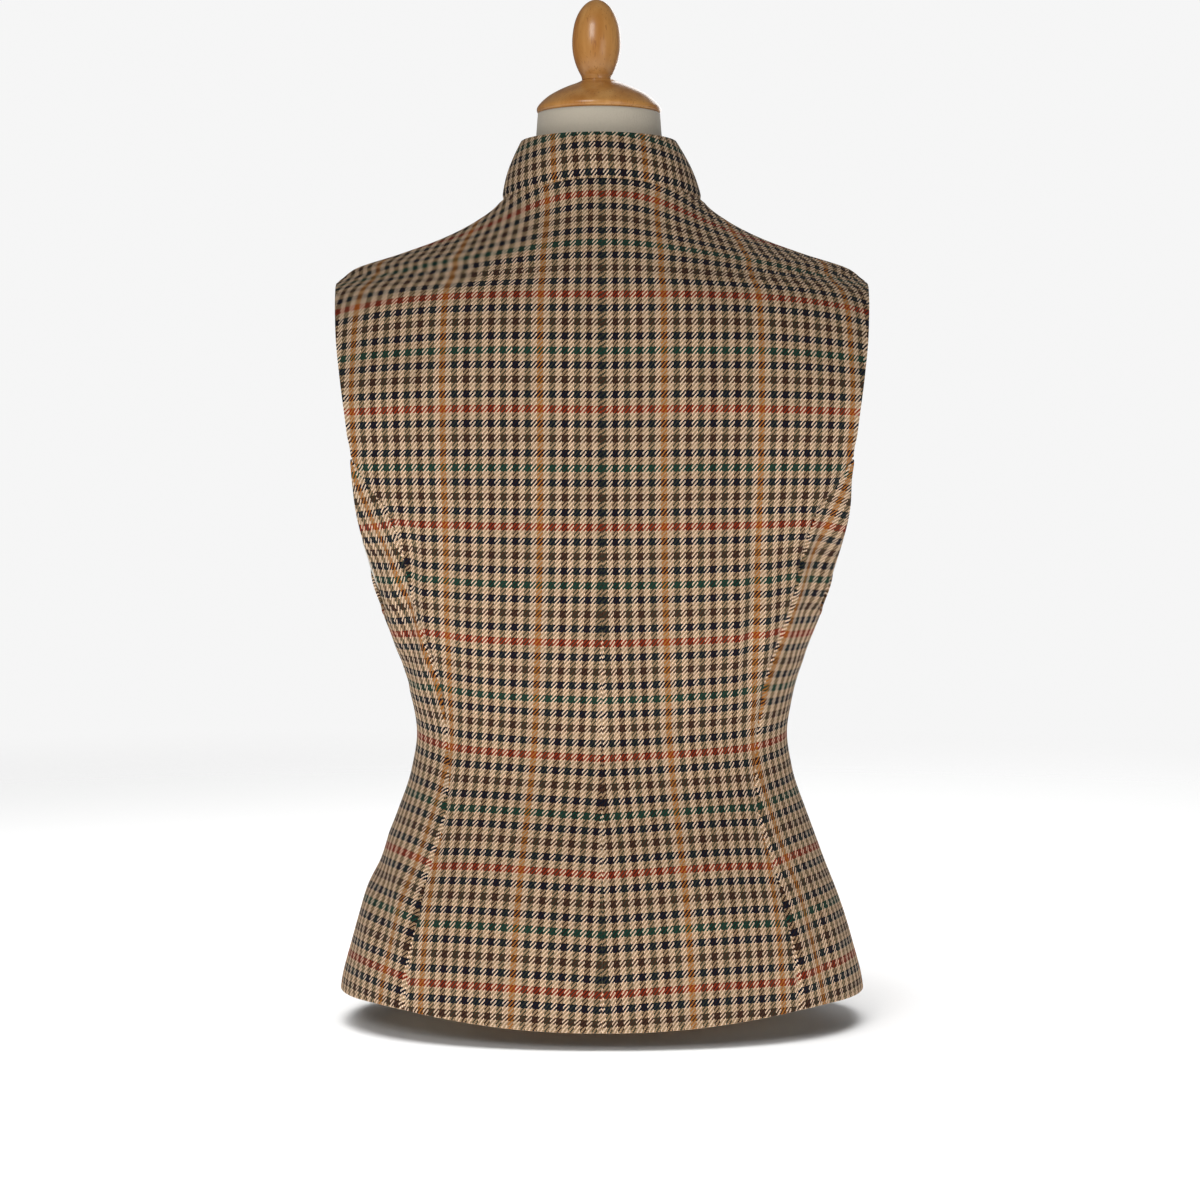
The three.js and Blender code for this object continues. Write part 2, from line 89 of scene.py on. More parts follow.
# %% The table of sections
TORSO_COLUMNS = ("half", "back", "front", "side", "flat_back", "blunt_back", "flat_front", "blunt_front")
TORSO_TABLE = np.array([
    [0, 189, 127, -120, 0, 2.25, 2.25, 2.3, 2.3],
    [30, 186, 126, -120, 0, 2.25, 2.25, 2.3, 2.3],
    [60, 178.5, 123.5, -119, 0, 2.25, 2.25, 2.3, 2.3],
    [90, 169, 117.5, -117, -1, 2.25, 2.25, 2.3, 2.3],
    [120, 157.5, 108.5, -113, -3, 2.2, 2.2, 2.3, 2.3],
    [150, 146.5, 98, -109, -4, 2.2, 2.2, 2.3, 2.3],
    [180, 136.5, 90, -106, -6, 2.2, 2.2, 2.3, 2.3],
    [204, 133, 87, -105, -6, 2.2, 2.2, 2.3, 2.3],
    [230, 137, 89.5, -106, -6, 2.25, 2.25, 2.3, 2.3],
    [260, 145.5, 95, -109, -6, 2.3, 2.3, 2.3, 2.3],
    [288, 156, 100, -114, -6, 2.4, 2.4, 2.3, 2.3],
    [310, 167, 103.5, -120, -6, 2.4, 2.4, 2.3, 2.2],
    [330, 174.5, 106.5, -126, -6, 2.4, 2.4, 2.25, 2],
    [350, 190, 108.5, -130, -6, 2.4, 2.4, 2.2, 1.7],
    [375, 208, 110, -132.5, -6, 2.4, 2.4, 2.15, 1.35],
    [402, 226, 111, -132, -6, 2.4, 2.4, 2.1, 1.12],
    [440, 242, 111, -126, -5, 2.4, 2.4, 2, 1.1],
    [480, 236, 108, -114, -3, 2.1, 2.1, 2, 1.08],
    [505, 222, 103, -101, -1, 2, 1.95, 2, 1.2],
    [520, 208.5, 98, -91, 0, 1.9, 1.65, 2, 1.25],
    [526, 199.5, 96, -87.5, 0.5, 1.88, 1.45, 1.98, 1.2],
    [530, 190, 94, -84, 1, 1.85, 1.25, 1.95, 1.1],
    [538, 180, 90.5, -78, 2, 1.8, 1.08, 1.9, 1],
    [549, 147, 85.5, -72, 4, 1.8, 1, 1.9, 1],
    [560, 116, 79.5, -66, 5, 1.8, 1.05, 1.9, 1.1],
    [572, 91.5, 73, -60, 5, 1.8, 1.25, 1.9, 1.25],
    [584, 75, 67, -54, 5, 1.9, 1.6, 1.95, 1.6],
    [597, 67, 62, -49, 5, 2, 2, 2, 2],
    [620, 61, 58, -46, 5, 2, 2, 2, 2],
])
PRINCESS_SEAM = np.array([
    [12, 137], [55, 133], [95, 125], [120, 119], [136, 113.5], [156, 109], [180, 107.5],
    [214, 110], [246, 114.5], [274, 123.5], [302, 132.8], [340, 140.5], [364, 149],
    [376, 158.3], [388, 167], [402, 174.2]])
BACK_ARMHOLE = np.array([
    [288, 154], [296, 153.2], [306, 156], [316, 159.6], [328, 163.6], [338, 166.6], [350, 169.4],
    [365, 172], [380, 173.4], [402, 175], [430, 178.2], [460, 182.6], [480, 185.4], [505, 187.6],
    [518, 189], [526, 190], [530, 190]])
SIDE_SEAM = np.array([[12, 92], [150, 92], [204, 90], [250, 86], [288, 80]])
FRONT_ARMHOLE = np.array([
    [288, 80], [292, 86], [296, 91], [306, 95], [316, 98], [330, 104], [350, 116.5], [365, 124],
    [380, 129.5], [410, 134.5], [440, 135.5], [470, 133], [490, 128], [505, 122], [518, 115.5],
    [525, 109], [530, 90]])
SLACK = np.array([[30, 30], [90, 20], [150, 9], [204, 4], [288, 3], [350, 1.5], [420, 0.4],
                  [546, 0.4], [572, 2]])

# %% [markdown]
# ## Helpers for smooth curves and surfaces
#
# numpy works on whole arrays, so one call places every point of a panel at once. along() reads a
# smooth curve through a table. torso() turns an angle round the body and a height into a point,
# and on_torso() moves that point out along the surface's own normal.

# %% Curve and surface functions
def mix(a, b, t):
    return a + (b - a) * t


def ease(t):
    """3t^2 - 2t^3 between 0 and 1, level outside."""
    t = np.clip(t, 0, 1)
    return t * t * (3 - 2 * t)


def bump(distance, width):
    """A soft hill: e to the power of minus (distance / width) squared."""
    return np.exp(-(distance / width) ** 2)


def along(table, z, column=1):
    """A cubic through a table column. The slope at a row is the harmonic mean of the rises beside it."""
    known, values = table[:, 0], table[:, column]
    rise = np.diff(values) / np.diff(known)
    below, above = rise[:-1], rise[1:]
    total = np.where(below + above == 0, 1, below + above)
    inner = np.where(below * above > 0, 2 * below * above / total, 0)
    slope = np.concatenate([rise[:1], inner, rise[-1:]])
    z = np.clip(z, known[0], known[-1])
    i = np.clip(np.searchsorted(known, z, side="right") - 1, 0, len(known) - 2)
    step = known[i + 1] - known[i]
    t = (z - known[i]) / step
    level = values[i] + (values[i + 1] - values[i]) * t * t * (3 - 2 * t)
    return level + step * (slope[i] * t * (1 - t) ** 2 - slope[i + 1] * t * t * (1 - t))


def power(value, exponent):
    return np.sign(value) * np.abs(value) ** exponent


def section_point(section, angle, z):
    """x = half sin^(2/flat), y = side + depth cos^(2/blunt), with the signs kept."""
    c = np.cos(angle)
    behind = c >= 0
    depth = np.where(behind, section["back"] - section["side"], section["side"] - section["front"])
    flat = np.where(behind, section["flat_back"], section["flat_front"])
    blunt = np.where(behind, section["blunt_back"], section["blunt_front"])
    x = section["half"] * power(np.sin(angle), 2 / flat)
    y = section["side"] + depth * power(c, 2 / blunt)
    return np.stack(np.broadcast_arrays(x, y, z), axis=-1)


def torso_section(z):
    return {name: along(TORSO_TABLE, z, i + 1) for i, name in enumerate(TORSO_COLUMNS)}


def torso(angle, z):
    angle, z = np.broadcast_arrays(np.asarray(angle, float), np.asarray(z, float))
    return section_point(torso_section(z), angle, z)


def unit(vector):
    return vector / np.maximum(np.linalg.norm(vector, axis=-1, keepdims=True), 1e-12)


def torso_normal(angle, z):
    """The cross product of the ways up and round, each taken between two near points."""
    around = torso(angle + 0.02, z) - torso(angle - 0.02, z)
    upward = torso(angle, z + 1.5) - torso(angle, z - 1.5)
    return unit(np.cross(upward, around))


def on_torso(angle, z, outward):
    """A torso point moved out by outward. Near the shoulder ridge the way out turns to the ridge's own."""
    point, normal = torso(angle, z), torso_normal(angle, z)
    from_ridge = np.abs(point[..., 1] - along(TORSO_TABLE, z, 4))
    share = (ease((z - 505) / 20) * ease(1 - from_ridge / 10))[..., None]
    side = np.where(np.sin(angle) < 0, -1.0, 1.0) * np.pi / 2
    normal = unit(mix(normal, torso_normal(side, z), share))
    return point + normal * np.asarray(outward)[..., None]


def angle_at(out, z):
    """The angle where a section is a given distance out, on the back half."""
    section = torso_section(z)
    share = np.clip(out / section["half"], 0, 1)
    return np.arcsin(share ** (section["flat_back"] / 2))


def hem_height(angle):
    turn = np.abs(angle) / DEGREES
    back = mix(HEM_BACK, HEM_SIDE, np.sin(turn * 1.5 * DEGREES) ** 2)
    return np.where(turn < 60, back, mix(HEM_SIDE, HEM_FRONT, ease((turn - 90) / 90)))


def ring_height(angle, back, side, front):
    return mix(np.where(np.abs(angle) > np.pi / 2, front, back), side, np.sin(angle) ** 2)


def neck_height(angle):
    return ring_height(angle, NECK_BACK, NECK_SIDE, NECK_FRONT)


def row_height(level, angle):
    """Level 0 is the hem, 1 the waist, 2 the shoulder tip and 3 the neck seam."""
    skirt = mix(hem_height(angle), WAIST, level)
    body = mix(WAIST, SHOULDER_TIP, level - 1)
    yoke = mix(SHOULDER_TIP, neck_height(angle) - SEAM_ROOM, level - 2)
    return np.where(level < 1, skirt, np.where(level < 2, body, yoke))


def level_of(z):
    return 1 + (z - WAIST) / (SHOULDER_TIP - WAIST)


# %% [markdown]
# ## Seam lines
#
# A seam line gives, for each level, the angle round the body where two panels meet. The side seam
# and the front armhole are written as angles. The princess seam and the back armhole are written
# as distances out from the centre back, because that is how they are seen.

# %% Seam line functions
def centre_back(level):
    return np.zeros_like(level)


def centre_front(level):
    return np.full_like(level, np.pi)


def princess(level):
    z = row_height(level, 45 * DEGREES)
    return angle_at(along(PRINCESS_SEAM, z), z)


def side_then_back_armhole(level):
    z = row_height(level, 90 * DEGREES)
    side = along(SIDE_SEAM, z) * DEGREES
    armhole = angle_at(along(BACK_ARMHOLE, z), z)
    return np.where(z <= UNDERARM, side, np.where(z >= SHOULDER_TIP, np.pi / 2, armhole))


def princess_then_armhole(level):
    """The princess seam runs into the armhole edge, which takes over in the next 15 mm."""
    above = ease((level - level_of(PRINCESS_TOP)) / (level_of(15.0) - level_of(0.0)))
    return mix(princess(level), side_then_back_armhole(level), above)


def side_then_front_armhole(level):
    z = row_height(level, 90 * DEGREES)
    side = along(SIDE_SEAM, z) * DEGREES
    armhole = along(FRONT_ARMHOLE, z) * DEGREES
    return np.where(z <= UNDERARM, side, np.where(z >= SHOULDER_TIP, np.pi / 2, armhole))


# %% [markdown]
# ## Grids for the panels
#
# A panel is a grid: levels go up and spots go across. Cloth needs close steps only where it turns,
# at its sewn and folded edges, so the first few steps from each edge are tenths of a millimetre
# and the rest are about two and a half.

# %% Levels and spots
EDGE_STEPS = np.array([0, 0.2, 0.5, 0.9, 1.4, 2.1, 3.0])
STEP = 2.5


def levels_up_to(top):
    """Close steps at the hem, even ones between, finer ones round the underarm and the neck seam."""
    skirt_height = WAIST - HEM_BACK
    hem = EDGE_STEPS / skirt_height
    skirt = np.linspace(hem[-1], 1, 72)[1:]
    marks = [(WAIST, 284, 33), (284, 302, 15), (302, 500, 80), (500, SHOULDER_TIP, 21)]
    body = np.concatenate([np.linspace(a, b, n)[1:] for a, b, n in marks])
    yoke_height = NECK_SIDE - SHOULDER_TIP
    yoke = np.linspace(2, 3 - EDGE_STEPS[-1] / yoke_height, 28)[1:]
    seam = 3 - EDGE_STEPS[-2::-1] / yoke_height
    levels = np.concatenate([hem, skirt, level_of(body), yoke, seam])
    return levels[levels < top - 1e-6] if top < 3 else levels


def spots_across(width, columns, fold=None):
    """Distances from the first edge: close at both edges and, if asked, at a fold's share of the width."""
    edge = EDGE_STEPS * min(1, 0.35 * width / EDGE_STEPS[-1])
    first, last = edge[-1], width - edge[-1]
    if fold is None:
        inside = np.linspace(first, last, columns)[1:-1]
    else:
        near = np.array([-3, -2, -1.2, -0.6, -0.25, 0, 0.25, 0.6, 1.2, 2, 3]) + fold * width
        half = columns // 2
        before = np.linspace(first, near[0], half)[1:-1]
        inside = np.concatenate([before, near, np.linspace(near[-1], last, half)[1:-1]])
    return np.concatenate([edge, inside, width - edge[::-1]])


def lay_out(levels, start_line, end_line, start_room, end_room, spots):
    """Angles of a panel's grid, with each point's distance along its row from both edges."""
    start, end = start_line(levels), end_line(levels)
    beyond = 0.35 if end_room < 0 else 0
    steps = np.linspace(0, 1, 700)
    fine = start[:, None] + (end + beyond - start)[:, None] * steps
    points = torso(fine, row_height(levels[:, None], fine))
    lengths = np.linalg.norm(np.diff(points, axis=1), axis=-1)
    run = np.concatenate([np.zeros((len(levels), 1)), np.cumsum(lengths, axis=1)], axis=1)
    rows = []
    for i in range(len(levels)):
        width = np.interp(end[i], fine[i], run[i]) - start_room - end_room
        spot = spots(width)
        rows.append(np.stack([np.interp(start_room + spot, run[i], fine[i]), spot, width - spot]))
    angle, from_start, to_end = np.stack(rows, axis=1)
    height = row_height(levels[:, None], angle)
    return {"level": np.broadcast_to(levels[:, None], angle.shape), "angle": angle, "z": height,
            "from_start": from_start, "to_end": to_end}


# %% [markdown]
# ## Flattening a panel
#
# Woven cloth hardly stretches, so its check must run over the body just as the flat piece was cut.
# This is as-rigid-as-possible flattening: every small triangle keeps its own shape and may only
# turn. First each triangle is matched with its best turn, then all corners are moved to fit those
# turns, and the two steps are repeated. The centre back edge is held to the line that the tailor
# cut, because the check shows it: the seam leaves the straight grain below the waist.

# %% Flattening
def flatten(points, guess, held, rounds=60, fold=None):
    """Flat places of a grid of points, told twice: for the quads before and after a fold.

    held is (which points, where) and gives the fixed ones. fold is (column, rows): there the two
    sides come apart, so that the cloth taken up by a dart shows as a gap in the flat piece.
    """
    rows, columns = points.shape[:2]
    before = np.arange(rows * columns).reshape(rows, columns)
    after = before.copy()
    place, start = points.reshape(-1, 3), guess.reshape(-1, 2)
    column, fold_rows = fold if fold else (columns, np.array([], int))
    if len(fold_rows):
        after[fold_rows, column] = rows * columns + np.arange(len(fold_rows))
        place = np.concatenate([place, points[fold_rows, column]])
        start = np.concatenate([start, guess[fold_rows, column]])
    triangles = []
    for index, use in ((before, slice(0, column)), (after, slice(column, columns - 1))):
        a, b, c, d = [u[:, use].ravel() for u in (index[:-1, :-1], index[:-1, 1:], index[1:, 1:], index[1:, :-1])]
        triangles += [np.stack(t, 1) for t in ((a, b, c), (a, c, d), (a, b, d), (b, c, d))]
    corners = np.concatenate(triangles)
    first, second = place[corners[:, 1]] - place[corners[:, 0]], place[corners[:, 2]] - place[corners[:, 0]]
    base = np.linalg.norm(first, axis=1)
    foot = (first * second).sum(1) / base
    high = np.sqrt(np.maximum((second ** 2).sum(1) - foot ** 2, 1e-6))
    local = np.zeros((len(corners), 3, 2))
    local[:, 1, 0], local[:, 2, 0], local[:, 2, 1] = base, foot, high
    edges = local - np.roll(local, -1, axis=1)
    weights = np.empty((len(corners), 3))
    for k in range(3):
        u = local[:, k] - local[:, (k + 2) % 3]
        v = local[:, (k + 1) % 3] - local[:, (k + 2) % 3]
        weights[:, k] = (u * v).sum(1) / np.abs(u[:, 0] * v[:, 1] - u[:, 1] * v[:, 0])
    weights = np.maximum(weights, 0.02)
    count = len(place)
    matrix = np.zeros((count, count))
    for k in range(3):
        i, j = corners[:, k], corners[:, (k + 1) % 3]
        np.add.at(matrix, (i, i), weights[:, k])
        np.add.at(matrix, (j, j), weights[:, k])
        np.add.at(matrix, (i, j), -weights[:, k])
        np.add.at(matrix, (j, i), -weights[:, k])
    which, where = held
    grip = 50.0
    matrix[which, which] += grip
    inverse = np.linalg.inv(matrix)
    flat = start.copy()
    for _ in range(rounds):
        moved = flat[corners] - flat[np.roll(corners, -1, axis=1)]
        turn = np.einsum("tk,tki,tkj->tij", weights, moved, edges)
        cosine, sine = turn[:, 0, 0] + turn[:, 1, 1], turn[:, 1, 0] - turn[:, 0, 1]
        size = np.maximum(np.hypot(cosine, sine), 1e-9)
        cosine, sine = (cosine / size)[:, None], (sine / size)[:, None]
        turned = np.stack([cosine * edges[..., 0] - sine * edges[..., 1],
                           sine * edges[..., 0] + cosine * edges[..., 1]], -1) * weights[..., None]
        target = np.zeros((count, 2))
        for k in range(3):
            np.add.at(target, corners[:, k], turned[:, k])
            np.add.at(target, corners[:, (k + 1) % 3], -turned[:, k])
        target[which] += grip * where
        flat = inverse @ target
    return flat[before], flat[after]


def arc_guess(points):
    """A first guess: lengths along each row, and heights along the first column."""
    across = np.linalg.norm(np.diff(points, axis=1), axis=-1)
    up = np.linalg.norm(np.diff(points[:, 0], axis=0), axis=-1)
    q = np.concatenate([np.zeros((len(points), 1)), np.cumsum(across, axis=1)], axis=1)
    v = np.concatenate([[0], np.cumsum(up)])
    return np.stack([q, np.broadcast_to(v[:, None], q.shape)], -1)


def blend_weights(known, wanted):
    """Four-point smooth blending along one side of a grid: which known points, and how much of each."""
    i = np.clip(np.searchsorted(known, wanted, side="right") - 1, 0, len(known) - 2)
    t = np.clip((wanted - known[i]) / (known[i + 1] - known[i]), 0, 1)
    near = np.clip(np.stack([i - 1, i, i + 1, i + 2]), 0, len(known) - 1)
    share = np.stack([-t + 2 * t**2 - t**3, 2 - 5 * t**2 + 3 * t**3, t + 4 * t**2 - 3 * t**3, t**3 - t**2]) / 2
    return near, share


def read_grid(grid, known_rows, known_shares, row, share):
    """Values of a coarse grid at the levels and shares of a fine one."""
    which_row, row_part = blend_weights(known_rows, row)
    which_share, share_part = blend_weights(known_shares, share)
    total = 0
    for i in range(4):
        for j in range(4):
            part = (row_part[i] * share_part[j])[..., None]
            total = total + part * grid[which_row[i], which_share[j]]
    return total


# %% [markdown]
# ## The check and its scale
#
# The cloth is a two-and-two twill. Six coloured threads and six cream ones take turns in both
# directions, and the coloured ones change in a fixed order, which makes the repeat 66 mm across
# and 80 mm up. Every panel carries a flat place in millimetres for each point, kept in a UV map
# named cloth. Its first number runs across the cloth, below zero on the left panels and above it
# on the right ones, so that the colours mirror about the middle while the twill slants one way.

# %% Scale of the check
REPEAT_ACROSS, REPEAT_UP = 66.4, 80.4
THREADS = 96
GOLD_FROM_CENTRE = 41.5      # first gold line from the centre back, at the chest
RED_ROW = -10.15             # a red row, measured up the centre back from the waist
CB_FLARE = np.array([        # how far the centre back seam leaves the straight grain
    [12, 21.3], [55, 17.9], [105, 15.2], [145, 12.4], [175, 8.4], [246, 4.4], [300, 1.2], [360, 0]])
SIDE_GOLD = -2.0             # a gold line of the side back, from the princess seam at the waist
SIDE_BIAS = (0.06, 0.075, 0.05)   # how much the side back's rows rise outward: all over, waist, underarm
CF_PLACE = GOLD_FROM_CENTRE + 4.5 * REPEAT_ACROSS   # the centre front falls midway between golds


def straight_edge(edge, sideways):
    """Flat places of a seam edge: sideways is given, and the rest of each step's length goes up."""
    steps = np.linalg.norm(np.diff(edge, axis=0), axis=1)
    aside = np.diff(sideways)
    up = np.concatenate([[0], np.cumsum(np.sqrt(np.maximum(steps ** 2 - aside ** 2, 0)))])
    return np.stack([sideways, up - np.interp(WAIST, edge[:, 2], up)], 1)


# %% [markdown]
# ## Creases
#
# Worn cloth never lies quite smooth. The photo shows a few soft folds: one down each side of the
# back from the armhole, one nearer the middle, and short ones over the hips. Each is a short line
# in millimetres out from the middle and up, with its own width and depth, and it fades at both
# ends. A fold is a soft trough with a lower ridge on each side.

# %% Crease lines
BACK_CREASES = [   # side is +1 for the wearer's left; depth and width in millimetres
    {"side": -1, "depth": 1.9, "width": 5.0, "line": [[107, 352], [106, 320], [104, 280], [101, 238]]},
    {"side": -1, "depth": 2.2, "width": 6.0,
     "line": [[174, 388], [164, 380], [154, 351], [146, 308], [142, 289], [137, 268]]},
    {"side": 1, "depth": 2.2, "width": 6.0,
     "line": [[142, 358], [135, 349], [133, 338], [136, 302], [134, 273], [137, 246]]},
    {"side": 1, "depth": 1.6, "width": 6.5, "line": [[157, 122], [153, 93], [152, 52]]},
    {"side": -1, "depth": 1.7, "width": 6.0, "line": [[143, 96], [151, 62], [157, 32]]},
    {"side": 1, "depth": 0.8, "width": 9.0, "line": [[20, 232], [62, 222], [98, 228]]},
    {"side": -1, "depth": 0.9, "width": 9.0, "line": [[14, 222], [58, 214], [96, 219]]},
    {"side": -1, "depth": 0.7, "width": 8.0, "line": [[30, 252], [64, 246], [98, 252]]},
    {"side": 1, "depth": 0.7, "width": 11.0, "line": [[40, 470], [92, 440], [150, 425]]},
    {"side": -1, "depth": 0.8, "width": 12.0, "line": [[52, 486], [104, 452], [158, 440]]},
]
FRONT_CREASES = [
    {"side": -1, "depth": 1.9, "width": 6.0, "line": [[150, 345], [141, 318], [134, 286]]},
    {"side": 1, "depth": 1.8, "width": 5.5, "line": [[152, 350], [142, 316], [137, 280], [138, 262]]},
    {"side": 1, "depth": 1.2, "width": 8.0, "line": [[118, 238], [88, 226], [52, 229]]},
    {"side": -1, "depth": 1.3, "width": 8.5, "line": [[122, 226], [92, 215], [44, 220]]},
    {"side": -1, "depth": 1.0, "width": 9.0, "line": [[112, 196], [80, 188], [50, 192]]},
    {"side": 1, "depth": 1.5, "width": 7.0, "line": [[150, 108], [148, 76], [151, 40]]},
    {"side": -1, "depth": 1.3, "width": 6.5, "line": [[146, 98], [147, 70], [153, 42]]},
]


def crease_field(x, z, creases):
    """Trough depth e^-(d/w)^2 along each line, with ridges at twice the width, faded at its ends."""
    total = np.zeros_like(x)
    for crease in creases:
        line = np.array(crease["line"], float)
        line[:, 0] *= crease["side"]
        steps = np.linalg.norm(np.diff(line, axis=0), axis=1)
        before = np.concatenate([[0], np.cumsum(steps)])
        nearest, share = np.full(x.shape, 1e9), np.zeros(x.shape)
        for (x0, z0), (x1, z1), length, start in zip(line[:-1], line[1:], steps, before):
            t = np.clip(((x - x0) * (x1 - x0) + (z - z0) * (z1 - z0)) / length ** 2, 0, 1)
            away = np.hypot(x - mix(x0, x1, t), z - mix(z0, z1, t))
            share = np.where(away < nearest, (start + t * length) / before[-1], share)
            nearest = np.minimum(away, nearest)
        width = crease["width"]
        fade = np.sin(np.pi * np.clip(0.06 + 0.88 * share, 0, 1)) ** 0.8
        shape = -bump(nearest, width) + 0.8 * bump(nearest - 2.0 * width, width)
        total += crease["depth"] * fade * shape
    return total


def slack_waves(x, y, z):
    """A few slow waves, under half a millimetre, so that no stretch of cloth is perfectly even."""
    low = np.sin(x / 31 + 1.3) * np.sin(z / 47 + 0.4) + 0.6 * np.sin((x + y) / 17 + z / 29)
    return 0.28 * low + 0.12 * np.sin(x / 9.5 - z / 13 + 2.0)


# %% [markdown]
# ## Edges
#
# A sewn edge turns in, so two panels meet in a narrow valley. A free edge, as at the hem and the
# armhole, is folded over: its two faces come together in a half round. Both are worked out from
# the distance to the edge, so that they follow the seam lines by themselves.

# %% Edge shapes
SEAM_DIP, SEAM_WIDTH = 1.0, 2.0
EDGE_SWELL = 0.25
FAR = 1e3


def edge_distance(points, to_edge, last):
    """Distance square to an edge: the distance along the row times the sine of the edge's slant."""
    edge = points[:, -1] if last else points[:, 0]
    inward = points[:, -4] if last else points[:, 3]
    tangent = unit(np.gradient(edge, axis=0))
    slant = np.linalg.norm(np.cross(tangent, unit(inward - edge)), axis=1)
    return to_edge * np.maximum(slant, 0.25)[:, None]


def half_round(from_edge, thick):
    """How far each face has turned in: r - sqrt(r^2 - (r - d)^2) at distance d, r just under half the wall."""
    radius = 0.46 * thick
    return radius - np.sqrt(np.maximum(radius ** 2 - np.maximum(radius - from_edge, 0) ** 2, 0))


def share_of(grid):
    return grid["from_start"] / (grid["from_start"] + grid["to_end"])


def free_share(z, low, high):
    """1 where an edge is free, between two heights, and 0 where it is sewn."""
    return ease((z - low) / 3) * ease((high - z) / 3)


def panel_surfaces(grid, creases, start_free, end_free, lift=0.0, calm=1.0, dart=None):
    """Outer and inner points of a panel, from its base points, edges, dart and creases."""
    angle, z = grid["angle"], grid["z"]
    base = torso(angle, z)
    x, y = base[..., 0], base[..., 1]
    out = (crease_field(x, z, creases) + slack_waves(x, y, z) * ease((NECK_FRONT - z) / 60)) * calm
    near_start = edge_distance(base, grid["from_start"], last=False)
    near_end = edge_distance(base, grid["to_end"], last=True)
    hem = z - hem_height(angle)
    top = np.where(grid["level"] > 2, neck_height(angle) - z, FAR)
    start_share, end_share = start_free(z), end_free(z)
    dip = (1 - start_share) * bump(near_start, SEAM_WIDTH) + (1 - end_share) * bump(near_end, SEAM_WIDTH)
    dip = np.minimum(dip + bump(top, SEAM_WIDTH), 1)
    out = out * (1 - dip) - SEAM_DIP * dip
    if dart:
        away = (share_of(grid) - dart["share"]) * (grid["from_start"] + grid["to_end"])
        span = ease((z - dart["low"]) / 25) * ease((dart["high"] - z) / 25)
        out = out + span * (0.4 * bump(away, 8) - 1.5 * bump(away, 1.2))
    free = np.minimum(hem, np.where(start_share > 0.5, near_start, FAR))
    free = np.minimum(free, np.where(end_share > 0.5, near_end, FAR))
    out = out + EDGE_SWELL * bump(free, 14)
    inside = np.maximum(out, -0.7 * along(SLACK, z)) + lift - CLOTH_THICK
    rounded = half_round(free, CLOTH_THICK)
    return on_torso(angle, z, out + lift - rounded), on_torso(angle, z, inside + rounded)


# %% [markdown]
# ## From grids to meshes
#
# A wall is closed from its two grids: quads over the outside, the same ones turned over on the
# inside, and a strip along each of the four edges. The flat places go into a UV map, corner by
# corner, because the two sides of a dart need different places at the same point.

# %% Mesh helpers
def quads_of(index):
    return np.stack([index[:-1, :-1], index[:-1, 1:], index[1:, 1:], index[1:, :-1]], -1).reshape(-1, 4)


def new_object(name, points, faces, corner_flat=None):
    """A smooth mesh from points in millimetres, with its place in the mesh and its object at the origin."""
    mesh = bpy.data.meshes.new(name)
    mesh.from_pydata((points * MM).tolist(), [], faces.tolist())
    mesh.polygons.foreach_set("use_smooth", np.ones(len(faces), bool))
    if corner_flat is not None:
        layer = mesh.uv_layers.new(name="cloth")
        layer.data.foreach_set("uv", corner_flat.astype(np.float32).ravel())
    mesh.update()
    piece = bpy.data.objects.new(name, mesh)
    bpy.context.scene.collection.objects.link(piece)
    return piece


def shift_back(points):
    return points + np.array([0, MIDDLE_SHIFT, 0])


def wall(name, outer, inner, flat_before, flat_after, fold_column, mirrored):
    """A closed wall. Corners of quads before the fold column take the first flat places, the rest the second."""
    rows, columns = outer.shape[:2]
    count = rows * columns
    points = np.concatenate([outer.reshape(-1, 3), inner.reshape(-1, 3)])
    index = np.arange(count).reshape(rows, columns)
    quads = quads_of(index)
    quad_column = np.tile(np.arange(columns - 1), rows - 1)
    bottom, top, first, last = index[0], index[-1], index[:, 0], index[:, -1]

    def strip(edge):
        return np.stack([edge[:-1], edge[1:], edge[1:] + count, edge[:-1] + count], -1)

    faces = np.concatenate([quads[:, ::-1], quads + count, strip(bottom), strip(top)[:, ::-1],
                            strip(first)[:, ::-1], strip(last)])
    edge_columns = np.arange(columns - 1)
    face_column = np.concatenate([quad_column, quad_column, edge_columns, edge_columns,
                                  np.zeros(rows - 1, int), np.full(rows - 1, columns)])
    both = np.concatenate([flat_before.reshape(-1, 2)] * 2), np.concatenate([flat_after.reshape(-1, 2)] * 2)
    if mirrored:
        points = points * np.array([-1, 1, 1])
        faces = faces[:, ::-1]
    after = (face_column >= fold_column)[:, None, None]
    corner_flat = np.where(after, both[1][faces], both[0][faces])
    sign = 1 if mirrored else -1
    return new_object(name, shift_back(points), faces, corner_flat.reshape(-1, 2) * np.array([sign, 1]))


# %% [markdown]
# ## Cutting the panels
#
# Each panel is laid out twice: coarsely, to flatten it and find its place on the cloth, and finely,
# to make the wall. The left panel is worked out first and the right one is the same, mirrored, but
# with its own creases.

# %% Panel maker
COARSE_ROWS = np.concatenate([np.linspace(0, 1, 18), np.linspace(1, 2, 32)[1:], np.linspace(2, 3, 9)[1:]])
LEFT, RIGHT = 1, -1
sheets, cloth_pieces = {}, {}


def creases_on(creases, side):
    """The creases of one side, told for a left panel: the right one is mirrored afterwards."""
    return [dict(c, side=1) for c in creases if c["side"] == side]


def coarse_grid(rows, shares, lines, rooms):
    grid = lay_out(rows, *lines, *rooms, lambda width: shares * width)
    return torso(grid["angle"], grid["z"])


def nearest_row(rows, level):
    return int(np.argmin(np.abs(rows - level)))


def flat_area(flat):
    a, b, c, d = flat[:-1, :-1], flat[:-1, 1:], flat[1:, 1:], flat[1:, :-1]
    one, two = c - a, d - b
    return float(np.abs(one[..., 0] * two[..., 1] - one[..., 1] * two[..., 0]).sum() / 2)


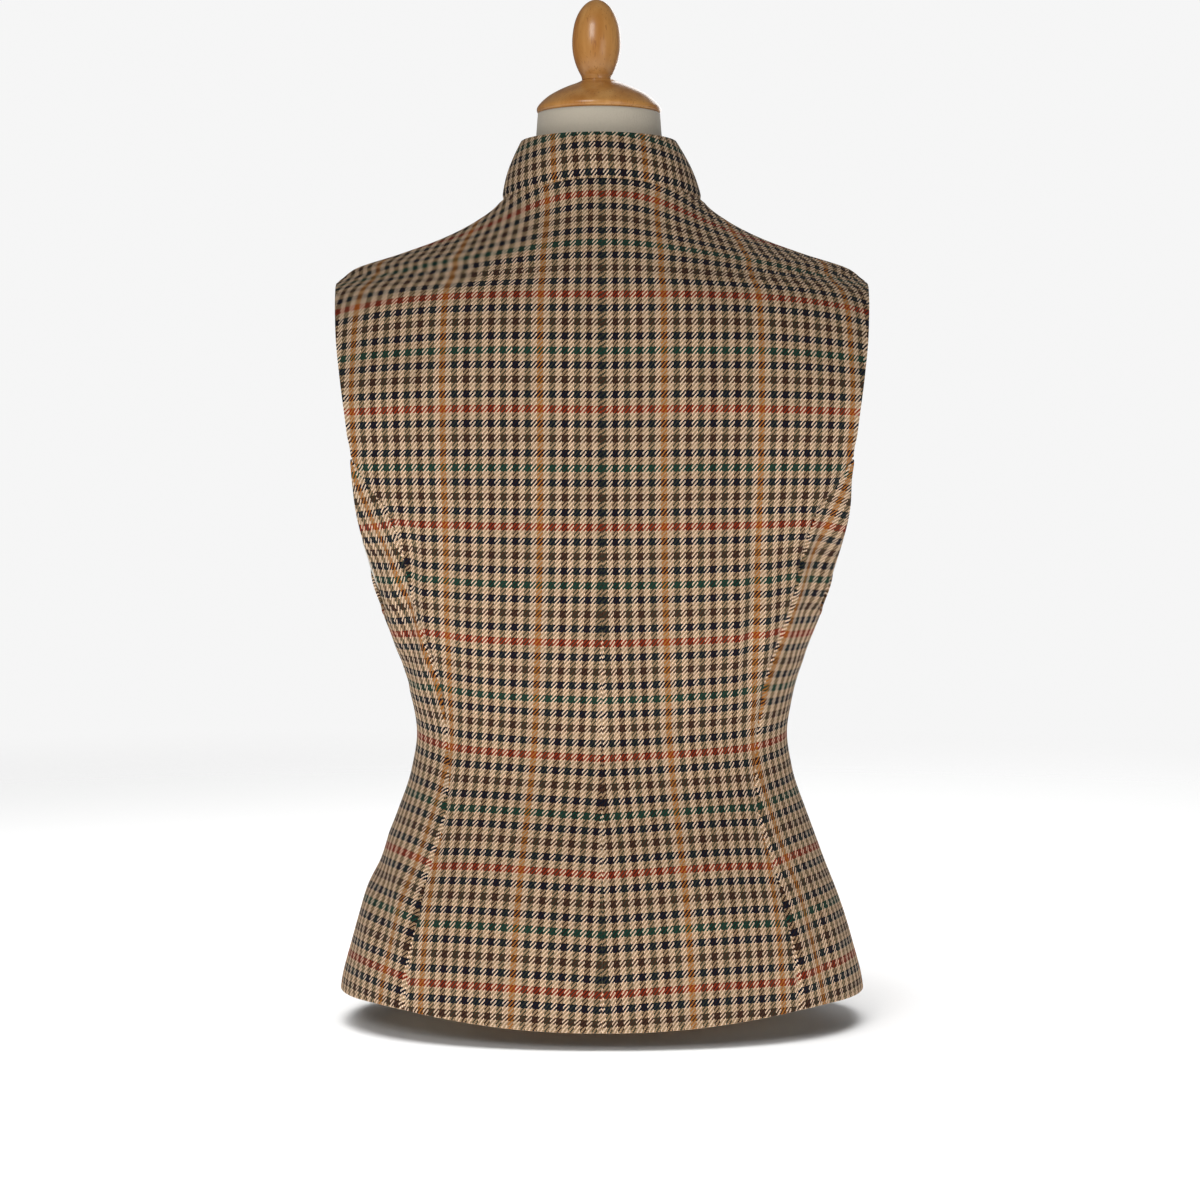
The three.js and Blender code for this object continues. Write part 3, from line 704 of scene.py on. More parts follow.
def note_cut(names, parts):
    low = np.min([p.reshape(-1, 2).min(0) for p in parts], axis=0)
    high = np.max([p.reshape(-1, 2).max(0) for p in parts], axis=0)
    width, length = (high - low) * MM
    area = sum(flat_area(p) for p in parts) * MM * MM
    for name in names:
        sheets[name] = {"flat": (float(width), float(length)), "area": float(area)}
    print(names[0], "cut to", round(float(width), 3), "by", round(float(length), 3), "m, area", round(area, 4))


def never_free(z):
    return np.zeros_like(z)


# %% Backs
BACK_SHARES = np.linspace(0, 1, 15)
back_lines, back_rooms = (centre_back, princess_then_armhole), (SEAM_ROOM, SEAM_ROOM)
back_coarse = coarse_grid(COARSE_ROWS, BACK_SHARES, back_lines, back_rooms)
back_edge = straight_edge(back_coarse[:, 0], -along(CB_FLARE, back_coarse[:, 0, 2]))
back_guess = arc_guess(back_coarse)
back_guess = np.stack([back_guess[..., 0] + back_edge[:, :1], np.repeat(back_edge[:, 1:], 15, 1)], -1)
back_flat, _ = flatten(back_coarse, back_guess, (np.arange(len(COARSE_ROWS)) * 15, back_edge))
back_grid = lay_out(levels_up_to(3), *back_lines, *back_rooms, lambda width: spots_across(width, 78))
back_cloth = read_grid(back_flat, COARSE_ROWS, BACK_SHARES, back_grid["level"], share_of(back_grid))
for name, side in (("back_left", LEFT), ("back_right", RIGHT)):
    outer, inner = panel_surfaces(back_grid, creases_on(BACK_CREASES, side), never_free,
                                  lambda z: free_share(z, PRINCESS_TOP - 2, SHOULDER_TIP - 1))
    cloth_pieces[name] = wall(name + "_tweed", outer, inner, back_cloth, back_cloth, 0, side == RIGHT)
note_cut(("back_left", "back_right"), [back_flat])

# %% Side backs
SIDE_SHARES = np.linspace(0, 1, 7)
side_levels = levels_up_to(level_of(PRINCESS_TOP))
side_rows = np.append(COARSE_ROWS[COARSE_ROWS < side_levels[-1]], side_levels[-1])
side_lines = (princess, side_then_back_armhole)
side_coarse = coarse_grid(side_rows, SIDE_SHARES, side_lines, back_rooms)
waist_row = nearest_row(side_rows, 1)
side_guess = arc_guess(side_coarse)
side_guess = side_guess - side_guess[waist_row, 0]
side_flat, _ = flatten(side_coarse, side_guess, (np.array([waist_row * 7]), np.zeros((1, 2))), 150)
side_across = side_flat[..., 0] - side_flat[:, :1, 0]
side_up = side_flat[..., 1]
side_pull = SIDE_BIAS[0] + SIDE_BIAS[1] * bump(side_up, 45) + SIDE_BIAS[2] * ease((side_up - 70) / 40)
side_flat[..., 1] -= side_across * side_pull
back_waist = back_flat[nearest_row(COARSE_ROWS, 1), -1]
side_flat = side_flat + np.array([GOLD_FROM_CENTRE + 2 * REPEAT_ACROSS - SIDE_GOLD, back_waist[1]])
side_grid = lay_out(side_levels, *side_lines, *back_rooms, lambda width: spots_across(width, 34))
side_cloth = read_grid(side_flat, side_rows, SIDE_SHARES, side_grid["level"], share_of(side_grid))
for name, side in (("side_back_left", LEFT), ("side_back_right", RIGHT)):
    outer, inner = panel_surfaces(side_grid, creases_on(BACK_CREASES, side), never_free,
                                  lambda z: free_share(z, UNDERARM, 2 * FAR))
    cloth_pieces[name] = wall(name + "_tweed", outer, inner, side_cloth, side_cloth, 0, side == RIGHT)
note_cut(("side_back_left", "side_back_right"), [side_flat])

# %% [markdown]
# The fronts are cut with the centre front on the straight grain. Each has one waist dart, which is
# a sewn fold: the flat piece is open there, so the check jumps across the fold as it does on a
# real dart. The right front laps over the left one and so stands out by a cloth's thickness.

# %% Fronts
DART = {"share": 0.47, "low": 112.0, "high": 348.0}
DART_COLUMN = 7
FRONT_SHARES = np.concatenate([np.linspace(0, DART["share"], 8), np.linspace(DART["share"], 1, 8)[1:]])
front_lines, front_rooms = (side_then_front_armhole, centre_front), (SEAM_ROOM, -BUTTON_LAP)
front_coarse = coarse_grid(COARSE_ROWS, FRONT_SHARES, front_lines, front_rooms)
front_edge = straight_edge(front_coarse[:, -1], np.full(len(COARSE_ROWS), CF_PLACE + BUTTON_LAP))
front_guess = arc_guess(front_coarse)
front_guess = np.stack([front_guess[..., 0] - front_guess[:, -1:, 0] + CF_PLACE + BUTTON_LAP,
                        np.repeat(front_edge[:, 1:], 15, 1)], -1)
dart_heights = front_coarse[:, DART_COLUMN, 2]
dart_rows = np.flatnonzero((dart_heights > DART["low"]) & (dart_heights < DART["high"]))
front_before, front_after = flatten(
    front_coarse, front_guess, (np.arange(len(COARSE_ROWS)) * 15 + 14, front_edge), 80, (DART_COLUMN, dart_rows))
side_waist = side_flat[waist_row, -1]
front_shift = np.array([0, side_waist[1] - front_before[nearest_row(COARSE_ROWS, 1), 0, 1]])
front_before, front_after = front_before + front_shift, front_after + front_shift
front_grid = lay_out(levels_up_to(3), *front_lines, *front_rooms,
                     lambda width: spots_across(width, 90, DART["share"]))
front_places = [read_grid(part, COARSE_ROWS, shares, front_grid["level"], share_of(front_grid))
                for part, shares in ((front_before[:, :DART_COLUMN + 1], FRONT_SHARES[:DART_COLUMN + 1]),
                                     (front_after[:, DART_COLUMN:], FRONT_SHARES[DART_COLUMN:]))]
fold_column = int(np.argmin(np.abs(share_of(front_grid)[0] - DART["share"])))
from_edge = front_grid["to_end"]
lap_lift = (CLOTH_THICK + LAP_CLEAR) * ease((LAP_RISE[0] - from_edge) / (LAP_RISE[0] - LAP_RISE[1]))
flat_lap = ease((from_edge - 30) / 25)
for name, side in (("front_left", LEFT), ("front_right", RIGHT)):
    outer, inner = panel_surfaces(front_grid, creases_on(FRONT_CREASES, side),
                                  lambda z: free_share(z, UNDERARM, SHOULDER_TIP - 1), np.ones_like,
                                  lap_lift if side == RIGHT else 0.0, flat_lap, DART)
    cloth_pieces[name] = wall(name + "_tweed", outer, inner, *front_places, fold_column, side == RIGHT)
front_cut = [front_before[:, :DART_COLUMN + 1], front_after[:, DART_COLUMN:]]
note_cut(("front_left", "front_right"), front_cut)
dart_gap = np.linalg.norm(front_after[dart_rows, DART_COLUMN] - front_before[dart_rows, DART_COLUMN], axis=1)
print("the waist dart takes up", round(float(dart_gap.max()), 1), "mm")

# %% [markdown]
# ## The collar
#
# The stand collar is one band. Its foot follows the neck seam and its top follows a smaller ring,
# with a slight swell between, and its ends nearly meet at the centre front.

# %% Collar
COLLAR_PLACE = GOLD_FROM_CENTRE + 3.5 * REPEAT_ACROSS   # gold lines at half a repeat from the middle
COLLAR_FOOT = -4.1                                      # the seam falls just under a navy row


def collar_point(angle, share):
    """A straight line from foot to top ring, plus a swell of sin(pi share) outward."""
    foot = torso(angle, neck_height(angle) + SEAM_ROOM)
    flat_ring = {**COLLAR_RING, "side": 0.0, "flat_back": 2.0, "flat_front": 2.0,
                 "blunt_back": 2.0, "blunt_front": 2.0}
    top = section_point(flat_ring, angle, ring_height(angle, COLLAR_BACK, COLLAR_SIDE, COLLAR_FRONT))
    top = top + np.array([COLLAR_LEAN, 0, 0])
    outward = np.stack([np.sin(angle), np.cos(angle), np.zeros_like(angle)], -1)
    return mix(foot, top, share[..., None]) + outward * (COLLAR_BULGE * np.sin(np.pi * share))[..., None]


collar_end = np.pi - np.arcsin(COLLAR_OPENING / COLLAR_RING["half"])
end_steps = EDGE_STEPS / COLLAR_RING["half"]
collar_turns = np.concatenate([-collar_end + end_steps, np.linspace(-collar_end, collar_end, 180)[2:-2],
                               collar_end - end_steps[::-1]])
foot_steps = EDGE_STEPS / 34
collar_shares = np.concatenate([foot_steps, np.linspace(foot_steps[-1], 1 - foot_steps[-1], 18)[1:-1],
                                1 - foot_steps[::-1]])
turn, share = np.meshgrid(collar_turns, collar_shares)
collar_base = collar_point(turn, share)
around = collar_point(turn + 0.02, share) - collar_point(turn - 0.02, share)
upward = collar_point(turn, share + 0.02) - collar_point(turn, share - 0.02)
collar_normal = unit(np.cross(upward, around))
climb = np.linalg.norm(np.diff(collar_base, axis=0), axis=-1)
climb = np.concatenate([np.zeros((1, len(collar_turns))), np.cumsum(climb, axis=0)])
run = np.linalg.norm(np.diff(collar_base, axis=1), axis=-1)
run = np.concatenate([np.zeros((len(collar_shares), 1)), np.cumsum(run, axis=1)], axis=1)
run = run - run[:, [len(collar_turns) // 2]]
end_room = np.minimum(run - run[:, :1], run[:, -1:] - run)
from_free = np.minimum(climb[-1] - climb, end_room)
collar_out = EDGE_SWELL * bump(from_free, 10) - SEAM_DIP * bump(climb, SEAM_WIDTH)
collar_out = collar_out + 0.3 * slack_waves(collar_base[..., 0], collar_base[..., 1], collar_base[..., 2])
collar_round = half_round(from_free, COLLAR_THICK)
collar_outer = collar_base + collar_normal * (collar_out - collar_round)[..., None]
collar_inner = collar_base + collar_normal * (collar_round - COLLAR_THICK)[..., None]
collar_cloth = np.stack([run * 1.0 - COLLAR_PLACE, climb + COLLAR_FOOT], -1)
cloth_pieces["collar"] = wall("collar_tweed", collar_outer, collar_inner, collar_cloth, collar_cloth, 0, False)
note_cut(("collar",), [collar_cloth])

# %% [markdown]
# ## The dress form
#
# The form stands just inside the cloth. It is the torso surface again, moved in by the wall and by
# the slack that the waistcoat has there, with the arm openings closed by flat plates. Above the
# shoulders it turns into its own slim neck. Nothing of it below the collar shows from behind.

# %% Dress form
NECK_TABLE = np.array([   # height, half width, back, front
    [572, 76, 68, -52], [584, 66, 60, -48], [597, 56, 53, -44.5], [610, 49.5, 48, -43],
    [626, 46, 46, -42.5], [649.5, 44, 45, -43]])
FORM_COLUMNS = 200


def form_body(angle, z):
    """The torso moved in by wall, seam and slack, and by up to 9 mm more at the arm plates."""
    wide = np.abs(torso(angle, z)[..., 0])
    plate = 9 * ease((wide - 110) / 60) * ease((z - 320) / 40) * ease((520 - z) / 40)
    point = on_torso(angle, z, -(CLOTH_THICK + SEAM_GAP + along(SLACK, z) + plate))
    return even_plates(point)


def even_plates(rings):
    """Flatten each ring at the two arm plates, and space its points evenly from front to back there."""
    for ring in rings:
        for side in (LEFT, RIGHT):
            on_plate = np.flatnonzero(ring[:, 0] * side > PLATE_OUT)
            if len(on_plate):
                first, last = on_plate[0] - 1, on_plate[-1] + 1
                share = np.arange(1, last - first) / (last - first)
                ring[first + 1:last, 0] = PLATE_OUT * side
                ring[first + 1:last, 1] = mix(ring[first, 1], ring[last, 1], share)
    return rings


def form_neck(angle, z):
    """Round sections that lean a little to the wearer's left as they rise."""
    half, back, front = (along(NECK_TABLE, z, i) for i in (1, 2, 3))
    lean = NECK_LEAN * ease((z - 597) / 40)
    depth = np.where(np.cos(angle) >= 0, back - 1, 1 - front)
    return np.stack([half * np.sin(angle) + lean, 1 + depth * np.cos(angle), z + 0 * angle], -1)


def ring_mesh(name, rings, mirrored=False):
    """A closed body from a stack of rings, with a point in the middle of each end."""
    count = rings.shape[1]
    ends = np.stack([rings[0].mean(0), rings[-1].mean(0)])
    points = np.concatenate([rings.reshape(-1, 3), ends])
    index = np.arange(rings.shape[0] * count).reshape(-1, count)
    index = np.concatenate([index, index[:, :1]], axis=1)
    faces = quads_of(index).tolist()
    low, high = len(points) - 2, len(points) - 1
    faces += np.stack([index[0, 1:], index[0, :-1], np.full(count, low)], 1).tolist()
    faces += np.stack([index[-1, :-1], index[-1, 1:], np.full(count, high)], 1).tolist()
    mesh = bpy.data.meshes.new(name)
    mesh.from_pydata((points * MM).tolist(), [], faces)
    mesh.polygons.foreach_set("use_smooth", np.ones(len(faces), bool))
    mesh.update()
    piece = bpy.data.objects.new(name, mesh)
    bpy.context.scene.collection.objects.link(piece)
    return piece


turns = np.linspace(2 * np.pi, 0, FORM_COLUMNS, endpoint=False)
body_heights = np.concatenate([FORM_BOTTOM + np.array([0, 0.4, 1.2, 2.4, 4]), np.linspace(37, 500, 120),
                               np.linspace(502.5, 572, 32)])
angle, z = np.meshgrid(turns, body_heights)
body_rings = form_body(angle, z)
body_rings[..., 2] = np.maximum(body_rings[..., 2], FORM_BOTTOM)
foot_turn = 3.0 - np.sqrt(9.0 - np.maximum(3.0 - (body_heights - FORM_BOTTOM), 0) ** 2)
middle = body_rings.mean(axis=1, keepdims=True) * np.array([1, 1, 0])
toward = unit(middle - body_rings * np.array([1, 1, 0]))
body_rings = body_rings + toward * foot_turn[:, None, None]
neck_heights = np.linspace(574, FORM_TOP, 34)
angle, z = np.meshgrid(turns, neck_heights)
joined = mix(form_body(angle, z), form_neck(angle, z), ease((z - 572) / 12)[..., None])
form = ring_mesh("jersey_form", shift_back(np.concatenate([body_rings, joined])))

# %% [markdown]
# ## Turned wood
#
# The foot, the neck cap and the finial are turned on a lathe, so each is one outline spun round an
# upright axis. A point of the outline is radius, height and reach, where reach says how far along
# its two sides the corner is rounded.

# %% Foot, neck cap and finial
def soften(outline, steps=7):
    """Each corner becomes a curve (1-t)^2 A + 2t(1-t) P + t^2 B between points a reach away."""
    outline = np.array(outline, float)
    points, reach = outline[:, :2], outline[:, 2]
    before, here, after = points[:-2], points[1:-1], points[2:]
    back, ahead = before - here, after - here
    back_length = np.linalg.norm(back, axis=1)
    ahead_length = np.linalg.norm(ahead, axis=1)
    first = here + back * (np.minimum(reach[1:-1], 0.49 * back_length) / back_length)[:, None]
    last = here + ahead * (np.minimum(reach[1:-1], 0.49 * ahead_length) / ahead_length)[:, None]
    t = np.linspace(0, 1, steps)[None, :, None]
    curves = (1 - t) ** 2 * first[:, None] + 2 * t * (1 - t) * here[:, None] + t ** 2 * last[:, None]
    return np.concatenate([points[:1], curves.reshape(-1, 2), points[-1:]])


def turned(name, outline, base, across=0.0, stretch=(1.0, 1.0), middle_y=0.0, columns=120):
    profile = soften(outline)
    turn = np.linspace(0, 2 * np.pi, columns, endpoint=False)
    radius = np.maximum(profile[:, :1], 0.02)
    rings = np.stack([across + radius * np.cos(turn) * stretch[0],
                      middle_y + radius * np.sin(turn) * stretch[1],
                      base + profile[:, 1:] + 0 * turn], -1)
    return ring_mesh(name, shift_back(rings))


foot = turned("turned_foot", [[0, 0, 0], [98.5, 0, 1], [100, 1.5, 1], [100, 27.5, 2], [97.8, 29.7, 2],
                              [0, 29.7, 0]], 0.0, 0.0, (1.0, 0.68), -15.0, 160)
cap_base = FORM_TOP + SEAM_GAP
cap = turned("turned_neck_cap", [
    [0, 0, 0], [43.3, 0, 0.8], [44.8, 1.6, 1.2], [44.8, 4.2, 1.6], [41.8, 8, 5], [36, 13, 6],
    [25.5, 18.5, 6], [16, 22, 4], [12.5, 24, 0.6], [0, 24, 0]], cap_base, NECK_LEAN, columns=144)
finial = turned("turned_finial", [
    [0, 0, 0], [10.4, 0, 0.4], [10.6, 2.5, 1.6], [12.6, 6, 4], [15.2, 12, 6], [17, 19, 6], [17.6, 26, 6],
    [17.3, 33, 6], [16, 41, 6], [13.4, 48, 6], [9.6, 53.5, 5], [5, 57.2, 4], [0, 58.4, 0]],
    cap_base + 24 + SEAM_GAP, FINIAL_LEAN, columns=96)

# %% [markdown]
# ## Buttons and buttonholes
#
# The six buttons are turned horn discs with a raised rim and four holes, sewn on with two bars of
# thread. The button is made once, lying flat, and then set up at each height. The buttonhole is a
# ring of close stitches round a slit that starts at the button and runs away from the front edge.

# %% Button shape
BUTTON_OUTLINE = [[0, 0, 0], [7.6, 0, 0.5], [9, 1, 0.8], [9, 2.4, 0.8], [8, 3.4, 0.8], [6.6, 3.5, 1],
                  [5.6, 2.8, 1], [0, 2.8, 0]]
HOLE_OUT, HOLE_RADIUS, HOLE_DEPTH = 1.75, 0.85, 2.2


def seat(points, height, outward):
    """Points of a flat-lying shape set up on the front: x across, y up and z out along the torso's normal."""
    centre = on_torso(np.pi, height, outward)
    out = torso_normal(np.pi, height)
    across = np.array([-1.0, 0, 0])
    up = np.cross(out, across)
    return centre + points[..., :1] * across + points[..., 1:2] * up + points[..., 2:] * out


def button_rings():
    profile = soften(BUTTON_OUTLINE)
    inner = np.linspace(profile[-2, 0], 0.05, 46)
    profile = np.concatenate([profile[:-2], np.stack([inner, np.full(46, 2.8)], 1)])
    turn = np.linspace(0, 2 * np.pi, 112, endpoint=False)
    rings = np.stack([profile[:, :1] * np.cos(turn), profile[:, :1] * np.sin(turn),
                      profile[:, 1:] + 0 * turn], -1)
    hole = np.array([[1, 1], [-1, 1], [-1, -1], [1, -1]]) * HOLE_OUT
    away = np.min(np.linalg.norm(rings[..., None, :2] - hole, axis=-1), axis=-1)
    face = (np.arange(len(rings)) > len(rings) - 47)[:, None]
    rings[..., 2] -= HOLE_DEPTH * ease((HOLE_RADIUS + 0.12 - away) / 0.24) * face
    return rings


def tube(path, radius, columns=8, closed=False):
    """A round tube about a path: the path plus r cos(t) side + r sin(t) top at each step."""
    if closed:
        along_path = unit(np.roll(path, -1, axis=0) - np.roll(path, 1, axis=0))
    else:
        along_path = unit(np.gradient(path, axis=0))
    side = unit(np.cross(along_path, np.array([0.0, 0.02, 1.0])))
    top = np.cross(along_path, side)
    turn = np.linspace(0, 2 * np.pi, columns, endpoint=False)[None, :, None]
    radius = np.broadcast_to(radius, len(path))[:, None, None]
    return path[:, None] + radius * (np.cos(turn) * side[:, None] + np.sin(turn) * top[:, None])


def joined_rings(name, stacks):
    """One mesh from several closed stacks of rings."""
    points, faces, count = [], [], 0
    for rings, looped in stacks:
        index = np.arange(rings.shape[0] * rings.shape[1]).reshape(rings.shape[:2]) + count
        index = np.concatenate([index, index[:, :1]], axis=1)
        if looped:
            index = np.concatenate([index, index[:1]])
        faces += quads_of(index).tolist()
        if not looped:
            faces += [index[0, -2::-1].tolist(), index[-1, :-1].tolist()]
        points.append(rings.reshape(-1, 3))
        count += rings.shape[0] * rings.shape[1]
    mesh = bpy.data.meshes.new(name)
    mesh.from_pydata((np.concatenate(points) * MM).tolist(), [], faces)
    mesh.polygons.foreach_set("use_smooth", np.ones(len(faces), bool))
    mesh.update()
    piece = bpy.data.objects.new(name, mesh)
    bpy.context.scene.collection.objects.link(piece)
    return piece


def thread_paths():
    """Two bars of three strands across the holes, each rising, crossing and dipping again."""
    t = np.linspace(0, 1, 15)
    paths = []
    for row in (-HOLE_OUT, HOLE_OUT):
        for strand in (-0.34, 0.0, 0.34):
            x = mix(-HOLE_OUT, HOLE_OUT, t) * (1 - 0.08 * abs(strand))
            z = 2.8 + 0.32 - 2.6 * np.abs(2 * t - 1) ** 9 + 0.1 * (strand == 0)
            paths.append(np.stack([x, row + strand + 0 * t, z], -1))
    return paths


button_base = CLOTH_THICK + LAP_CLEAR + BUTTON_CLEAR
button_shape = button_rings()
shank_turn = np.linspace(0, 2 * np.pi, 16, endpoint=False)
shank = np.stack([np.stack([1.5 * np.cos(shank_turn), 1.5 * np.sin(shank_turn), z + 0 * shank_turn], -1)
                  for z in (-0.62, -0.4, 0.0)])
buttons, threads = [], []
for number, height in enumerate(BUTTON_HEIGHTS, 1):
    tilt = (-0.10, 0.06, 0.14, -0.04, 0.09, -0.12)[number - 1]
    turn_it = np.array([[np.cos(tilt), -np.sin(tilt), 0], [np.sin(tilt), np.cos(tilt), 0], [0, 0, 1]])
    buttons.append(ring_mesh(f"horn_button_{number}",
                             shift_back(seat(button_shape @ turn_it.T, height, button_base))))
    stacks = [(shift_back(seat(tube(path, 0.19) @ turn_it.T, height, button_base)), False)
              for path in thread_paths()]
    stacks.append((shift_back(seat(shank, height, button_base)), False))
    threads.append(joined_rings(f"button_thread_{number}", stacks))

# %% Buttonholes
SLIT_LENGTH, SLIT_START = 20.0, -3.0
STITCHES, STITCH_STEPS = 84, 5


def on_right_front(inward, upward, height, outward):
    """A place on the lapped front: inward of the centre front and up from a height."""
    z = height + upward
    section = torso_section(z)
    share = (np.abs(inward) / section["half"]) ** (section["flat_front"] / 2)
    angle = np.pi + np.sign(inward) * np.arcsin(share)
    lift = (CLOTH_THICK + LAP_CLEAR) * ease((LAP_RISE[0] - BUTTON_LAP - inward) / (LAP_RISE[0] - LAP_RISE[1]))
    return on_torso(angle, z, lift + outward)


def slit_rings(height):
    """A tube round a long flat oval, its radius rising and falling once a stitch."""
    t = np.linspace(0, 2 * np.pi, 2000)
    oval = np.stack([SLIT_START + SLIT_LENGTH * (0.5 + 0.5 * power(np.cos(t), 0.6)),
                     0.92 * power(np.sin(t), 0.5)], -1)
    arc = np.concatenate([[0], np.cumsum(np.linalg.norm(np.diff(oval, axis=0), axis=1))])
    even = np.linspace(0, arc[-1], STITCHES * STITCH_STEPS, endpoint=False)
    path = np.stack([np.interp(even, arc, oval[:, 0]), np.interp(even, arc, oval[:, 1]), 0 * even], -1)
    radius = 0.6 + 0.15 * np.cos(np.arange(len(path)) / STITCH_STEPS * 2 * np.pi)
    rings = tube(path, radius, 8, closed=True)[:, ::-1]
    return shift_back(on_right_front(rings[..., 0], rings[..., 1], height, rings[..., 2] - 0.1))


buttonholes = [joined_rings(f"buttonhole_{number}", [(slit_rings(height), True)])
               for number, height in enumerate(BUTTON_HEIGHTS, 1)]

# %% [markdown]
# ## Materials
#
# Everything is worked out from places on the cloth or in space, with no pictures. The tweed first
# counts its threads: the whole number of ends and picks at a point says which thread is on top,
# and the thread's own number says its colour.

# %% Node helpers
def linear(code):
    """A colour code as the renderer's own linear values: ((c + 0.055) / 1.055)^2.4."""
    values = np.array([int(code[i:i + 2], 16) for i in (1, 3, 5)]) / 255
    curve = np.where(values <= 0.04045, values / 12.92, ((values + 0.055) / 1.055) ** 2.4)
    return (*curve.tolist(), 1.0)


def new_material(name, **settings):
    material = bpy.data.materials.new(name)
    material.use_nodes = True
    shader = material.node_tree.nodes["Principled BSDF"]
    for socket, value in settings.items():
        shader.inputs[socket.replace("_", " ")].default_value = value
    return material, material.node_tree, shader


def feed(tree, socket, value):
    """Join a socket to another node's output, or set it to a constant."""
    if isinstance(value, bpy.types.NodeSocket):
        tree.links.new(value, socket)
    else:
        socket.default_value = value


def calc(tree, operation, *values):
    node = tree.nodes.new("ShaderNodeMath")
    node.operation = operation
    for i, value in enumerate(values):
        feed(tree, node.inputs[i], value)
    return node.outputs[0]


def blend_colour(tree, kind, share, first, second):
    node = tree.nodes.new("ShaderNodeMix")
    node.data_type = "RGBA"
    node.blend_type = kind
    for i, value in ((0, share), (6, first), (7, second)):
        feed(tree, node.inputs[i], value)
    return node.outputs[2]


def noise(tree, place, scale, detail=2.0, dimensions="3D"):
    node = tree.nodes.new("ShaderNodeTexNoise")
    node.noise_dimensions = dimensions
    feed(tree, node.inputs["Vector"], place)
    node.inputs["Scale"].default_value = scale
    node.inputs["Detail"].default_value = detail
    return node.outputs[0]


def thread_noise(tree, number):
    node = tree.nodes.new("ShaderNodeTexWhiteNoise")
    node.noise_dimensions = "1D"
    feed(tree, node.inputs["W"], number)
    return node.outputs[0]


def join(tree, x, y, z=0.0):
    node = tree.nodes.new("ShaderNodeCombineXYZ")
    for i, value in enumerate((x, y, z)):
        feed(tree, node.inputs[i], value)
    return node.outputs[0]


def bump_to(tree, shader, height, distance, strength=1.0):
    node = tree.nodes.new("ShaderNodeBump")
    node.inputs["Strength"].default_value = strength
    node.inputs["Distance"].default_value = distance
    feed(tree, node.inputs["Height"], height)
    tree.links.new(node.outputs[0], shader.inputs["Normal"])


# %% Tweed
CREAM, DARK_BROWN, OLIVE, GOLD = "#f2d6b8", "#281917", "#33372b", "#b9742f"
SHADED_CREAM = "#c4a17b"               # the cream weft lies lower than the warp, in its shade
NAVY, BROWN, GREEN, RED = "#081428", "#583a29", "#15483a", "#a83a1c"
WARP_ORDER = (GOLD, OLIVE, DARK_BROWN, OLIVE, DARK_BROWN, OLIVE, DARK_BROWN, OLIVE)
WEFT_ORDER = (RED, NAVY, BROWN, NAVY, GREEN, NAVY, BROWN, NAVY)
WARP_COVERS = 1.76                     # picks covered by an end, of every four
RIB_SHADE = 0.14                       # painted shade along the twill: its warp floats stand up and are painted lighter, its weft floats lie lower and are painted darker
GOLD_END, RED_PICK = 57.0, -15.0       # the first thread of a gold and of a red stripe


def stripe_colours(tree, threads, first, order, light):
    """frac((thread - first) / 96) into sixteen equal steps: a colour, cream, the next colour, cream."""
    place = calc(tree, "FRACT", calc(tree, "DIVIDE", calc(tree, "SUBTRACT", threads, first), float(THREADS)))
    ramp = tree.nodes.new("ShaderNodeValToRGB")
    ramp.color_ramp.interpolation = "CONSTANT"
    stops = ramp.color_ramp.elements
    for i in range(14):
        stops.new((i + 1) / 16)
    for i, stop in enumerate(sorted(stops, key=lambda s: s.position)):
        stop.position = i / 16
        stop.color = linear(light if i % 2 else order[i // 2])
    tree.links.new(place, ramp.inputs[0])
    return ramp.outputs[0]


def shade_thread(tree, colour, number, across, along_thread):
    """A thread's colour times its own brightness, its slubs and a painted shade that darkens its sides."""
    own = calc(tree, "MULTIPLY_ADD", thread_noise(tree, number), 0.24, 0.88)
    slub = noise(tree, join(tree, calc(tree, "MULTIPLY", number, 3.7), along_thread), 0.9, 2.0, "2D")
    slub = calc(tree, "MULTIPLY_ADD", slub, 0.5, 0.75)
    # painted shade: each thread is darker towards its two sides, where a round yarn turns away from the light
    centre = calc(tree, "SINE", calc(tree, "MULTIPLY", calc(tree, "FRACT", across), np.pi))
    side = calc(tree, "MULTIPLY_ADD", centre, 0.85, 0.45)
    tone_and_side_shade = calc(tree, "MULTIPLY", calc(tree, "MULTIPLY", own, slub), side)
    scaled = tree.nodes.new("ShaderNodeVectorMath")
    scaled.operation = "SCALE"
    tree.links.new(colour, scaled.inputs[0])
    tree.links.new(tone_and_side_shade, scaled.inputs["Scale"])
    return scaled.outputs[0], centre


tweed, tree, shader = new_material("tweed", Roughness=0.95, Sheen_Weight=0.04, Sheen_Roughness=0.5)
shader.inputs["Specular IOR Level"].default_value = 0.12
place = tree.nodes.new("ShaderNodeUVMap")
place.uv_map = "cloth"
split = tree.nodes.new("ShaderNodeSeparateXYZ")
tree.links.new(place.outputs[0], split.inputs[0])
across_cloth, up_cloth = split.outputs[0], split.outputs[1]
hairy = calc(tree, "SUBTRACT", noise(tree, place.outputs[0], 0.8, 3.0, "2D"), 0.5)
hairy_too = calc(tree, "SUBTRACT", noise(tree, place.outputs[0], 1.1, 3.0, "2D"), 0.5)
END_WIDTH, PICK_HEIGHT = REPEAT_ACROSS / THREADS, REPEAT_UP / THREADS
ends = calc(tree, "ADD", calc(tree, "DIVIDE", across_cloth, END_WIDTH), calc(tree, "MULTIPLY", hairy, 0.5))
picks = calc(tree, "ADD", calc(tree, "DIVIDE", up_cloth, PICK_HEIGHT), calc(tree, "MULTIPLY", hairy_too, 0.5))
end_number, pick_number = calc(tree, "FLOOR", ends), calc(tree, "FLOOR", picks)
climb_of_end = calc(tree, "SUBTRACT", picks, calc(tree, "ADD", end_number, 1.0 - WARP_COVERS / 2))
warp_up = calc(tree, "LESS_THAN", calc(tree, "FLOORED_MODULO", climb_of_end, 4.0), WARP_COVERS)
warp_colour = stripe_colours(tree, calc(tree, "ABSOLUTE", ends), GOLD_END, WARP_ORDER, CREAM)
